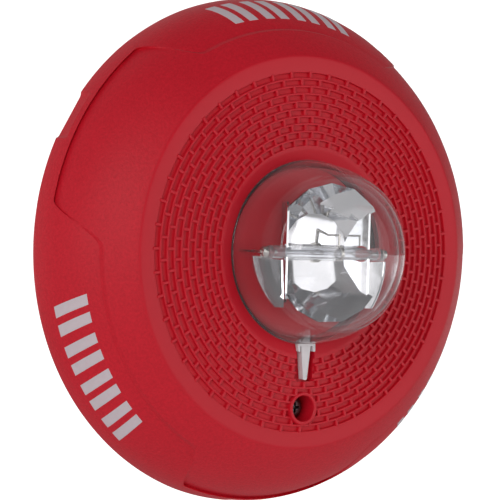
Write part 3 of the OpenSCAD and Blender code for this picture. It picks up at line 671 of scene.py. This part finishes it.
def grille_lattice(part):
    """Ribs over the recess: rings between the rows, or bars between the cells, each row half a cell on."""
    sizes = {
        "inner radius": ("NodeSocketFloat", GRILLE_IN / 1000),
        "row pitch": ("NodeSocketFloat", ROW_PITCH / 1000),
        "rows": ("NodeSocketInt", CELL_ROWS),
        "cells": ("NodeSocketInt", CELLS_ROUND),
        "ring width": ("NodeSocketFloat", RIB_W / 1000),
        "bar width": ("NodeSocketFloat", BAR_W / 1000),
        "depth": ("NodeSocketFloat", (CELL_D + 0.4) / 1000),
        "edge": ("NodeSocketFloat", 0.2 / 1000),
        "crown height": ("NodeSocketFloat", CROWN_H / 1000),
        "rise": ("NodeSocketFloat", FIELD_RISE / 1000),
    }
    t, s = geometry_tree("grille_" + part, sizes)

    def height(radius):
        part = (radius - s["inner radius"]) / (s["rows"] * s["row pitch"])
        return s["crown height"] + s["rise"] * (1 - part * part) - s["depth"] * 0.5

    def bar_section(width):
        box = t.node("GeometryNodeCurvePrimitiveQuadrilateral", {}, {"Width": width, "Height": s["depth"]})
        return t.node("GeometryNodeFilletCurve", {"mode": "POLY"}, {"Curve": box, "Count": 2,
                                                      "Radius": s["edge"], "Limit Radius": True})

    index = t.node("GeometryNodeInputIndex")
    if part == "rings":
        radius = s["inner radius"] + (index + 1) * s["row pitch"]
        dots = t.node("GeometryNodePoints", {}, {
            "Count": s["rows"] - 1, "Position": t.node("ShaderNodeCombineXYZ", {}, {"Z": height(radius)})})
        circle = t.node("GeometryNodeCurvePrimitiveCircle", {}, {"Resolution": 288, "Radius": 1.0})
        size = t.node("ShaderNodeCombineXYZ", {}, {"X": radius, "Y": radius, "Z": 1.0})
        rings = t.node("GeometryNodeInstanceOnPoints", {}, {"Points": dots, "Instance": circle, "Scale": size})
        rings = t.node("GeometryNodeRealizeInstances", {}, {0: rings})
        rings = t.node("GeometryNodeSetCurveNormal", {"mode": "Z_UP"}, {"Curve": rings})
        shape = t.node("GeometryNodeCurveToMesh", {},
                       {"Curve": rings, "Profile Curve": bar_section(s["ring width"])})
    else:
        row = (index / s["cells"]).math("FLOOR")
        place = index - row * s["cells"]
        turn = (place + 0.5 + (row % 2) * 0.5) * (2 * math.pi) / s["cells"]
        radius = s["inner radius"] + (row + 0.5) * s["row pitch"]
        where = t.node("ShaderNodeCombineXYZ", {}, {"X": radius * turn.math("COSINE"),
                                                     "Y": radius * turn.math("SINE"), "Z": height(radius)})
        dots = t.node("GeometryNodePoints", {}, {"Count": s["rows"] * s["cells"], "Position": where})
        end = t.node("ShaderNodeCombineXYZ", {}, {"X": s["row pitch"] * 0.5})
        start = t.node("ShaderNodeCombineXYZ", {}, {"X": s["row pitch"] * -0.5})
        line = t.node("GeometryNodeCurvePrimitiveLine", {}, {"Start": start, "End": end})
        line = t.node("GeometryNodeSetCurveNormal", {"mode": "Z_UP"}, {"Curve": line})
        bar = t.node("GeometryNodeCurveToMesh", {}, {"Curve": line, "Profile Curve": bar_section(s["bar width"]),
                                                     "Fill Caps": True})
        shape = t.node("GeometryNodeInstanceOnPoints", {}, {
            "Points": dots, "Instance": bar, "Rotation": t.node("ShaderNodeCombineXYZ", {}, {"Z": turn})})
    return grown(t, stood_up(t, shape), sizes, "red_housing")


def grille_ribs():
    """Rings and bars as one lattice, open round the screw's well and the slot of the lens's bar."""
    well = turned([(0, 20), (WELL_R + 1.15, 20), (WELL_R + 1.15, 45), (0, 45)], 72, (0, -SCREW_Y))
    slot = prism(rounded_box(-SLOT_W / 2 - 0.1, SLOT_W / 2 + 0.1, -LENS_R - TAIL_L - 0.9, -LENS_R + 3, 0.8), 20, 45)
    return carved(grille_lattice("rings"), [grille_lattice("bars")], [well, slot])


PRINT_NEAR_Z, PRINT_FAR_Z = 20.2, 9.3         # ends of each bar nearest to and furthest from the lens
PRINT_WIDE, PRINT_SLANT = 2.6, 2.4            # degrees
PRINT_PAIRS = (-14.1, -4.7, 4.7, 14.1)        # middles of the four pairs, in degrees from the panel's middle
PRINT_PANELS = (90, 210, 330)


def printed_bar(middle, rows=14, columns=5):
    """One slanted bar on the curve of its side panel, sunk a little under the surface."""
    wide = columns + 1
    top, under = [], []
    for i in range(rows + 1):
        v = i / rows
        z = PRINT_NEAR_Z + (PRINT_FAR_Z - PRINT_NEAR_Z) * v
        for j in range(wide):
            a = math.radians(middle + PRINT_WIDE * (j / columns - 0.5) + PRINT_SLANT * (v - 0.5))
            for sheet, lift in ((top, 0.05), (under, -0.3)):
                r = float(panel_r(z)) + lift
                sheet.append((r * math.cos(a), r * math.sin(a), z))
    n = len(top)
    faces = []
    for i in range(rows):
        for j in range(columns):
            a, b = i * wide + j, i * wide + j + 1
            c, d = b + wide, a + wide
            faces += [[d, c, b, a], [n + a, n + b, n + c, n + d]]
    rim = list(range(wide)) + [i * wide + columns for i in range(1, rows + 1)]
    rim += [rows * wide + j for j in range(columns - 1, -1, -1)] + [i * wide for i in range(rows - 1, 0, -1)]
    return top + under, faces + [[a, b, n + b, n + a] for a, b in zip(rim, rim[1:] + rim[:1])]


def print_marks():
    """Plain slanted bars printed on the three side panels, in four pairs on each."""
    bars = [printed_bar(panel + pair + side)
            for panel in PRINT_PANELS for pair in PRINT_PAIRS for side in (-2.15, 2.15)]
    return outward(mesh_of("marks", *joined(bars)))


# ---------------------------------------------------------------- lens and strobe
LENS_BASE = CROWN_H + 0.9
BEAD_Z, BEAD_WIDE = 54.2, 0.55                # fine bead where the drum turns into the face


def lens_curve(radius, top, bead, count=110):
    """Half section of the dome, from its foot to its crown, with a fine bead where the drum turns into the face."""
    curve = []
    for s in np.sin(np.linspace(0, math.pi / 2, count)) ** 0.8:
        r = radius * max(math.cos(math.pi / 2 * s), 0) ** 0.46
        z = LENS_BASE + (top - LENS_BASE) * math.sin(math.pi / 2 * s) ** 1.15
        lift = bead * math.exp(-((z - BEAD_Z) / BEAD_WIDE) ** 2)
        curve.append((r + 0.8 * lift, z + 0.6 * lift))
    return curve


def dome():
    outside = lens_curve(LENS_R, LENS_TOP, 0.32)
    inside = lens_curve(LENS_R - LENS_T, LENS_TOP - LENS_T, 0)
    outside[-1], inside[-1] = (0, LENS_TOP), (0, LENS_TOP - LENS_T)
    foot = CROWN_H - 1.3
    bead = [(LENS_R + 0.1 + 0.45 * math.cos(a), LENS_BASE + 0.56 + 0.45 * math.sin(a))
            for a in np.linspace(-1.9, 1.6, 9)]
    outside = [(r, z) for r, z in outside if z > LENS_BASE + 1.15]
    profile = [(LENS_R - LENS_T, foot), (LENS_R, foot), (LENS_R, LENS_BASE + 0.1), *bead, *outside, *inside[::-1]]
    return mesh_of("dome", *turned(profile, 200))


def lens_tail():
    """The lens's tapered locating bar in its slot, with a small clip at each side of its root."""
    z0, z1 = SLOT_FLOOR + 0.2, FIELD_H - 0.2
    y0, y1 = -LENS_R - TAIL_L, -LENS_R - 0.1
    bar = prism([(-0.75, y0), (-0.3, y0 - 0.25), (0.3, y0 - 0.25), (0.75, y0), (2.05, y1), (-2.05, y1)], z0, z1)
    clips = [prism(rounded_box(x - 0.45, x + 0.45, y1 - 2.6, y1, 0.25), z0 + 0.6, z1 + 0.5) for x in (-3.1, 3.1)]
    tie = prism(rounded_box(-3.5, 3.5, y1 - 0.7, y1 + 0.05, 0.2), z0 + 0.6, z1 + 0.4)
    return carved(mesh_of("tail", *bar), [tie, *clips])


BOWL_F = 9.8
BOWL_R = 23.2
BOWL_APEX = TUBE_Z - BOWL_F
BOWL_HALF, BOWL_FOOT = 16.4, 11.5              # inside half widths at the top and the foot of the side walls
SIDE_TOP, FOOT_Z = TUBE_Z + 2.2, BOWL_APEX + 2.8
SHEET = 0.8


def bowl_z(r):
    return BOWL_APEX + r * r / (4 * BOWL_F)


def bowl_middle():
    """The smooth middle of the bowl, flatter than the ring of facets round it."""
    radii = np.linspace(0, 13.6, 16)
    curve = [(r, bowl_z(13.2) - (13.2 ** 2 - r * r) / (4 * 30)) for r in radii]
    return turned([(r, z - SHEET) for r, z in curve] + curve[::-1], 96)


def bowl_facets():
    """Flat facets round the bowl, in three rings of triangles that tilt a little this way and that."""
    sectors, radii = 15, (13.2, 16.6, 20.0, BOWL_R)
    points, faces = [], []
    for drop in (0.0, SHEET):
        for i, r in enumerate(radii):
            for j in range(sectors):
                a = (j + 0.5 * (i % 2)) * 2 * math.pi / sectors + 0.13
                tilt = 0.4 * math.sin(2.4 * j + 1.9 * i) if 0 < i < 3 else 0
                points.append((r * math.cos(a), r * math.sin(a), bowl_z(r) + tilt - drop))
    sheet = len(radii) * sectors
    for base, flip in ((0, False), (sheet, True)):
        for i in range(len(radii) - 1):
            low, high = base + i * sectors, base + (i + 1) * sectors
            for j in range(sectors):
                k = (j + 1) % sectors
                pair = ([low + j, high + k, low + k], [low + j, high + j, high + k]) if i % 2 else (
                    [low + j, high + j, low + k], [low + k, high + j, high + k])
                faces += [face[:: -1 if flip else 1] for face in pair]
    last = (len(radii) - 1) * sectors
    for j in range(sectors):
        k = (j + 1) % sectors
        faces.append([j, k, sheet + k, sheet + j])
        faces.append([last + k, last + j, sheet + last + j, sheet + last + k])
    return np.array(points), faces


def side_wedge(side, inner, outer, z0, z1, reach):
    """Solid between two leaning planes beside the bowl: inner and outer are set out from its inside face."""
    lean = (BOWL_HALF - BOWL_FOOT) / (SIDE_TOP - FOOT_Z)
    corners = [(BOWL_FOOT + lean * (z - FOOT_Z) + out, z) for z, out in
               ((z0, inner), (z0, outer), (z1, outer), (z1, inner))]
    points = [(side * x, -reach, z) for x, z in corners] + [(side * x, reach, z) for x, z in corners]
    faces = [[0, 1, 2, 3], [7, 6, 5, 4], [0, 4, 5, 1], [1, 5, 6, 2], [2, 6, 7, 3], [3, 7, 4, 0]]
    return np.array(points), [f if side > 0 else f[::-1] for f in faces]


def wing(side):
    """Flat plate outside the bowl's side wall, its outer edge following the lens, its lip turned up."""
    inner, outer, low, high = BOWL_HALF + 0.4, 26.9, -18.2, -1.6
    lean = 0.3 if side < 0 else 0.12
    arc = [(math.sqrt(outer ** 2 - y * y), y) for y in np.linspace(low, high, 14)]
    outline = [(inner, low), *arc, (inner, high)]
    lip = [*arc, *[(x - 0.5, y) for x, y in arc[::-1]]]
    if side < 0:
        outline, lip = ([(-x, y) for x, y in shape][::-1] for shape in (outline, lip))
    solids = [prism(outline, TUBE_Z - 0.2, TUBE_Z + 0.5), prism(lip, TUBE_Z, TUBE_Z + 0.8)]
    for points, _ in solids:                                # each wing leans back towards its outer edge
        points[:, 2] -= lean * (abs(points[:, 0]) - inner) + 0.09 * (points[:, 1] + 10)
    return solids


def reflector():
    """Metallised bowl with a smooth middle and flat facets, leaning side walls and a wing on each side."""
    bowl = carved(outward(mesh_of("bowl", *bowl_facets())), [bowl_middle()],
                  [side_wedge(side, SHEET * 0.6, 30, 20, 60, 40) for side in (-1, 1)])
    walls = []
    for side in (-1, 1):
        wall_solid = mesh_of("side", *side_wedge(side, 0, SHEET, BOWL_APEX, SIDE_TOP, 16.6))
        beyond = turned([(0, 20), (BOWL_R * 0.98, 20), (BOWL_R * 0.98, 60), (0, 60)], 72)
        trim = carved(mesh_of("trim", *turned([(0, 10), (60, 10), (60, 70), (0, 70)], 48)), [], [beyond])
        walls.append(carved(outward(wall_solid), [], [trim, turned(
            [(0, 10)] + [(r, bowl_z(r) - 0.4) for r in np.linspace(0, 22, 20)] + [(22.4, 10)], 96)]))
    hole = turned([(0, -30), (TUBE_R + 0.5, -30), (TUBE_R + 0.5, 30), (0, 30)], 40, (0, 0, TUBE_Z), "x")
    return carved(bowl, [*walls, *wing(-1), *wing(1)], [hole])


def flash_tube():
    """Quartz tube with rounded seals at its ends, hollow between them."""
    half = TUBE_HALF
    outside = [(0, -half), (TUBE_R * 0.5, -half), (TUBE_R * 0.85, -half + 0.5), (TUBE_R, -half + 1.4),
               (TUBE_R, half - 1.4), (TUBE_R * 0.85, half - 0.5), (TUBE_R * 0.5, half), (0, half)]
    inner = TUBE_R - 0.6
    hollow = [(0, -half + 2), (inner * 0.8, -half + 2.2), (inner, -half + 3), (inner, half - 3),
              (inner * 0.8, half - 2.2), (0, half - 2)]
    middle = (0, 0, TUBE_Z)
    return mesh_of("tube", *joined([turned(outside, 48, middle, "x"), flipped(turned(hollow, 48, middle, "x"))]))


def tube_ends():
    """Metal end caps with a bead where the glass is sealed, bent leads down to the board, and the electrodes."""
    end = TUBE_HALF
    cap = rounded([(0, end), (1.8, end), (2.0, end + 0.4), (1.75, end + 0.8), (1.75, end + 1.6), (1.2, end + 2),
                   (0.6, end + 2.1), (0.6, end + 2.3), (0, end + 2.3)], 0.15)
    electrode = [(0, end - 3.8), (0.75, end - 3.8), (0.75, end - 2.3), (0.3, end - 2.1), (0.3, end - 2.05),
                 (0, end - 2.05)]
    parts = []
    for side in (-1, 1):
        for profile, columns in ((cap, 32), (electrode, 20)):
            solid = turned(profile, columns, (0, 0, TUBE_Z), "x")
            parts.append(mirrored(solid) if side < 0 else solid)
        parts.append(pipe([(side * (end + 2.1), 0, TUBE_Z), (side * (LEAD_X - 0.1), 0, TUBE_Z - 0.05),
                           (side * LEAD_X, 0, TUBE_Z - 0.4), (side * LEAD_X, 0, TUBE_Z - 1.2),
                           (side * LEAD_X, 0, BOARD_FRONT)], 0.5))
    return mesh_of("ends", *joined(parts))


def tube_faces(rows, sides):
    """Faces of a tube whose points lie ring after ring, closed at both ends."""
    faces = [[i * sides + j, i * sides + (j + 1) % sides, (i + 1) * sides + (j + 1) % sides, (i + 1) * sides + j]
             for i in range(rows) for j in range(sides)]
    return faces + [list(range(sides))[::-1], [rows * sides + j for j in range(sides)]]


def pipe(path, radius, sides=12):
    """A round wire along a path of points, closed at both ends."""
    path = [np.array(p, float) for p in path]
    rings = []
    for i, p in enumerate(path):
        d = path[min(i + 1, len(path) - 1)] - path[max(i - 1, 0)]
        d /= np.linalg.norm(d)
        u = np.cross(d, (0.31, 0.87, 0.12))
        u /= np.linalg.norm(u)
        v = np.cross(d, u)
        rings.append([p + radius * (math.cos(a) * u + math.sin(a) * v)
                      for a in np.arange(sides) * 2 * math.pi / sides])
    return np.array([q for ring in rings for q in ring]), tube_faces(len(path) - 1, sides)


# ---------------------------------------------------------------- screws
def threaded(root, crest, pitch, z0, z1, lead_in=0.6, sides=36):
    """A shank with a real helical thread, from z0 to z1, closed at both ends."""
    per_turn = 8
    rows = max(4, int((z1 - z0) / pitch * per_turn))
    points = []
    for i in range(rows + 1):
        z = z0 + (z1 - z0) * i / rows
        fade = min(1, (z - z0) / lead_in) * min(1, (z1 - z) / (0.3 * pitch) + 0.05)
        for j in range(sides):
            phase = (z / pitch - j / sides) % 1
            ridge = max(0.0, 1 - abs(phase - 0.5) * 2.4)
            r = root - 0.15 * (1 - min(1, (z - z0) / lead_in)) + (crest - root) * min(1, ridge) * fade
            a = 2 * math.pi * j / sides
            points.append((r * math.cos(a), r * math.sin(a), z))
    return np.array(points), tube_faces(rows, sides)


def placed(solid, x, y, z=0.0):
    return solid[0] + (x, y, z), solid[1]


def cross_cutters(x, y, top, reach, width, depth):
    """The two tapered blades of a cross recess."""
    cutters = []
    for turn in (0, 90):
        blade = prism(rounded_box(-reach, reach, -width / 2, width / 2, width * 0.35), top - depth, top + 1)
        p = blade[0].copy()
        low = p[:, 2] < top
        p[low, 0] *= 0.55
        if turn:
            p = np.stack([-p[:, 1], p[:, 0], p[:, 2]], -1)
        cutters.append((p + (x, y, 0), blade[1]))
    return cutters


def captive_screw():
    """Dark pan-head screw with a cross recess, standing backed out in its well."""
    under = 27.1
    head = turned(rounded([(0, under), (3.7, under, 0.2), (3.7, under + 1.7, 0.6), (2.6, under + 2.8, 1.0),
                           (0, under + 3)]), 72, (0, -SCREW_Y))
    neck = turned([(0, 12.6), (1.3, 12.6), (1.3, 26.0), (1.7, 26.3), (1.7, 27.3), (0, 27.3)], 48, (0, -SCREW_Y))
    return carved(mesh_of("head", *head), [neck, placed(threaded(1.3, 1.74, 0.8, 8.8, 12.8), 0, -SCREW_Y)],
                  cross_cutters(0, -SCREW_Y, under + 3, 2.3, 0.95, 1.7))


def pan_screw(head_r, head_h, shank_r, length, pitch, flip=False):
    """Cross-recessed pan head screw on its seat at the origin, with its head out of the wall, or into it."""
    head = turned(rounded([(0, 0), (head_r, 0, 0.15), (head_r, 0.5 * head_h, 0.5 * head_h),
                           (0.62 * head_r, head_h, 0.5), (0, head_h)]), 40)
    mesh = carved(mesh_of("head", *head), [threaded(0.8 * shank_r, shank_r, pitch, -length, 0.2, sides=24)],
                  cross_cutters(0, 0, head_h, 0.62 * head_r, 0.26 * head_r, 0.7 * head_h))
    if flip:
        mesh.transform(Matrix.Rotation(math.pi, 4, "X"))
    return mesh


def set_down(mesh, places, finish):
    """Copies of a mesh at the given places, as one mesh, by a Geometry Nodes tree."""
    piece = in_scene("piece", mesh)
    spots = in_scene("spots", mesh_of("spots", places, []))
    sizes = {"piece": ("NodeSocketObject", piece), "places": ("NodeSocketObject", spots),
             "scale": ("NodeSocketFloat", 1.0)}
    t, s = geometry_tree("set_down", sizes)
    points = t.node("GeometryNodeObjectInfo", {}, {"Object": s["places"]}, "Geometry")
    copy = t.node("GeometryNodeObjectInfo", {}, {"Object": s["piece"]}, "Geometry")
    size = t.node("ShaderNodeCombineXYZ", {}, {"X": s["scale"], "Y": s["scale"], "Z": s["scale"]})
    copies = t.node("GeometryNodeInstanceOnPoints", {}, {"Points": points, "Instance": copy, "Scale": size})
    result = grown(t, copies, sizes, finish)
    for thing in (piece, spots):
        bpy.data.objects.remove(thing)
    return result


def round_places(radius, angles, z):
    return [(radius * math.cos(math.radians(a)), radius * math.sin(math.radians(a)), z) for a in angles]


def capacitor():
    """Photoflash capacitor lying on the board: rubber bung, crimp groove, sleeve rolled over the can, two leads."""
    r, length = 6.5, 25.0
    can = turned([(0, 0.5), (4.6, 0.5), (4.8, 0.1), (5.9, 0.0), (6.35, 0.35), (6.42, 0.9), (6.42, 2.2), (6.1, 2.6),
                  (5.85, 3.1), (6.1, 3.6), (6.45, 4.0), (r, 4.6), (r, length - 1.2), (6.3, length - 0.5),
                  (5.9, length - 0.1), (5.3, length), (5.15, length - 0.4), (0, length - 0.4)], 72)
    lead = turned([(0, -1.45), (0.3, -1.5), (0.4, -1.3), (0.4, 0.7), (0, 0.7)], 16)
    points, faces = joined([can, placed(lead, -2.5, 0), placed(lead, 2.5, 0)])
    points = np.stack([points[:, 0], points[:, 2], -points[:, 1]], -1)
    return mesh_of("capacitor", points + (*CAPACITOR_AT, BOARD_FRONT + r), faces)


def winding():
    """Enamelled wire wound turn by turn round the inductor's core."""
    z0, z1, turns = BOARD_FRONT + 1.55, BOARD_FRONT + 8.45, 12
    wire = (z1 - z0) / turns / 2
    outside = [(5.36 - wire + wire * math.cos(a), z0 + wire * (2 * n + 1) + wire * math.sin(a))
               for n in range(turns) for a in np.linspace(-1.45, 1.45, 7)]
    return mesh_of("winding", *placed(turned([(2.62, z0), *outside, (2.62, z1)], 72), *INDUCTOR_AT))


def softened(node, width):
    """A CAD node with its flat faces whole again and its edges eased by that many millimetres."""
    work = bmesh.new()
    work.from_mesh(NODES[node].data)
    bmesh.ops.remove_doubles(work, verts=work.verts, dist=2e-6)
    bmesh.ops.dissolve_limit(work, angle_limit=math.radians(0.5), verts=work.verts, edges=work.edges)
    mesh = bpy.data.meshes.new(node)
    work.to_mesh(mesh)
    work.free()
    body = in_scene("body", mesh)
    bevel = body.modifiers.new("ease", "BEVEL")
    bevel.width, bevel.segments = width / 1000, 2
    bevel.limit_method, bevel.angle_limit = "ANGLE", math.radians(38)
    result = baked(body)
    bpy.data.objects.remove(body)
    return result


def small_piece(mesh, node, **more):
    """Puts a finished mesh in the place of the CAD node it stands for."""
    return finish_piece(mesh, node + "_piece", BODY_OF[node], SLOT_OF[node], replaces=[node], **more)


# ---------------------------------------------------------------- make the pieces
# How far the edges of each CAD node are eased, in millimetres
EASED = {
    "mounting_plate": 0.3, "rear_cover": 0.3, "terminal_block": 0.25, "terminal_contacts": 0.12,
    "terminal_clamp_1": 0.2, "terminal_clamp_2": 0.2, "terminal_clamp_3": 0.2, "terminal_clamp_4": 0.2,
    "trigger_coil": 0.7, "microcontroller": 0.2, "rectifier_diodes": 0.25, "chip_resistors": 0.12,
    "contact_blades": 0.2, "sounder_cup": 0.3, "piezo_clamp_ring": 0.2, "candela_switch": 0.2,
    "candela_slider": 0.25, "tone_switch": 0.2, "tone_rotor": 0.2, "screw_retainer": 0.15, "screw_washer": 0.1,
    "lens_gasket": 0.15, "hinge_pin": 0.3, "spring_rivet": 0.15, "screw_insert": 0.12, "inductor_core": 0.3,
    "shorting_spring": 0.08, "circuit_board": 0.1,
}

finish_piece(housing_shell(), "housing_shell", "head", "red_housing", replaces=["front_housing"], sharp=32)
finish_piece(grille_ribs(), "grille_ribs", "head", "red_housing", sharp=50)
finish_piece(print_marks(), "side_marks", "head", "red_housing", "white_ink")
finish_piece(dome(), "lens_dome", "head", "clear_lens", replaces=["lens"], sharp=60)
finish_piece(lens_tail(), "lens_tail", "head", "clear_lens", "lens_bar")
finish_piece(reflector(), "reflector_bowl", "head", "reflector_chrome", replaces=["reflector"], sharp=8)
finish_piece(flash_tube(), "flash_tube_glass", "head", "tube_glass", replaces=["flash_tube"], sharp=40)
finish_piece(tube_ends(), "tube_ends", "head", "nickel", replaces=["tube_end_caps"], sharp=40)
finish_piece(captive_screw(), "captive_screw_body", "captive_screw", "dark_steel", replaces=["captive_screw"])

small_piece(set_down(pan_screw(2.6, 1.4, 1.3, 8.9, 0.9, True),
                     round_places(COVER_SCREW_R, COVER_SCREWS, COVER_BACK), "zinc_steel"), "rear_cover_screws")
small_piece(set_down(pan_screw(2.4, 1.3, 1.05, 7.5, 0.8, True),
                     round_places(BOARD_SCREW_R, BOARD_SCREWS, BOARD_BACK), "zinc_steel"), "circuit_board_screws")
for number in (1, 2, 3, 4):
    node = f"terminal_screw_{number}"
    low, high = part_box(node)
    top = -low.y * 1000
    seat = top - CLAMP_T
    small_piece(set_down(pan_screw(2.9, 1.5, 1.7, seat + high.y * 1000, 0.7),
                         [((number - 2.5) * TERMINAL_PITCH, TERMINAL_Y, seat)], "nickel"), node)
small_piece(capacitor(), "storage_capacitor")
small_piece(winding(), "inductor_winding")
for node, width in EASED.items():
    small_piece(softened(node, width), node, sharp=26)

for entry in frame["record"]["subparts"]:
    node = NODES[entry["node"]]
    node.data.materials.clear()
    node.data.materials.append(FINISHES[entry["material_slot"]])

# ---------------------------------------------------------------- floor, light and camera
def floor():
    mesh = bpy.data.meshes.new("floor")
    s, z = 150.0, -1.0
    mesh.from_pydata([(-s, -s, z), (s, -s, z), (s, s, z), (-s, s, z)], [], [[0, 1, 2, 3]])
    paint = Paint("pale_floor")
    away = paint.node("ShaderNodeVectorMath", {"operation": "LENGTH"}, {0: paint.place}, "Value")
    far = paint.node("ShaderNodeMapRange", {}, {"Value": away, "From Min": 4.0, "From Max": 8.0})
    mesh.materials.append(paint.done(Base_Color=(0.9, 0.9, 0.9, 1), Roughness=0.9, Emission_Strength=1.0,
                                     Emission_Color=paint.mix(far, (0.1, 0.1, 0.1), (1.0, 1.0, 1.0))))
    plane = in_scene("floor", mesh)


def softbox(name, place, aim, width, height, power):
    light = bpy.data.lights.new(name, "AREA")
    light.shape = "RECTANGLE"
    light.size, light.size_y = width, height
    light.energy = power
    lamp = in_scene(name, light)
    lamp.location = place
    lamp.rotation_euler = (Vector(aim) - Vector(place)).to_track_quat("-Z", "Y").to_euler()


def white_surround(front, back):
    """A white studio: pure white from the camera, bright behind the wall and dim in front of it."""
    world = bpy.data.worlds.new("surround")
    world.use_nodes = True
    world.node_tree.nodes.clear()
    tree = Tree(world.node_tree)

    def glow(strength):
        return tree.node("ShaderNodeBackground", {}, {"Color": (1, 1, 1, 1), "Strength": strength})

    way = tree.node("ShaderNodeTexCoord", out="Generated")
    behind = tree.node("ShaderNodeMapRange", {"interpolation_type": "SMOOTHSTEP"},
                       {"Value": tree.node("ShaderNodeSeparateXYZ", {}, {0: way}, "Y"),
                        "From Min": -0.1, "From Max": 0.75})
    seen = tree.node("ShaderNodeLightPath", out="Is Camera Ray")
    room = tree.node("ShaderNodeMixShader", {}, {0: behind, 1: glow(front), 2: glow(back)})
    both = tree.node("ShaderNodeMixShader", {}, {0: seen, 1: room, 2: glow(1.2)})
    tree.node("ShaderNodeOutputWorld", {}, {"Surface": both})
    bpy.context.scene.world = world


def camera():
    """The viewing angle: a little under 36 degrees round to the left, almost level, with a slight roll."""
    azimuth, elevation, roll, distance = (math.radians(35.88), math.radians(0.36), math.radians(1.79), 0.9)
    ahead = Vector((math.sin(azimuth) * math.cos(elevation), math.cos(azimuth) * math.cos(elevation),
                    -math.sin(elevation)))
    across = ahead.cross(Vector((0, 0, 1))).normalized()
    upward = across.cross(ahead)
    right = across * math.cos(roll) + upward * math.sin(roll)
    up = upward * math.cos(roll) - across * math.sin(roll)
    middle = Vector((0, -0.025, 0))
    place = middle - ahead * distance
    target = middle - right * 0.0138 + up * 0.00056
    look = (target - place).normalized()
    right = look.cross(up).normalized()
    up = right.cross(look)
    data = bpy.data.cameras.new("camera")
    data.lens = 191.8
    data.sensor_width = 36
    data.clip_start = 0.05
    data.clip_end = 500
    view = in_scene("camera", data)
    view.matrix_world = Matrix((
        (right.x, up.x, -look.x, place.x),
        (right.y, up.y, -look.y, place.y),
        (right.z, up.z, -look.z, place.z),
        (0, 0, 0, 1)))
    bpy.context.scene.camera = view


floor()
white_surround(0.14, 0.6)
softbox("key", (-1.55, -1.25, 0.6), (0, 0, 0), 1.0, 1.0, 15)
softbox("fill", (1.17, -1.62, 0.1), (0, 0, 0), 1.1, 1.4, 5.4)
camera()
bpy.context.scene.view_settings.view_transform = "Standard"
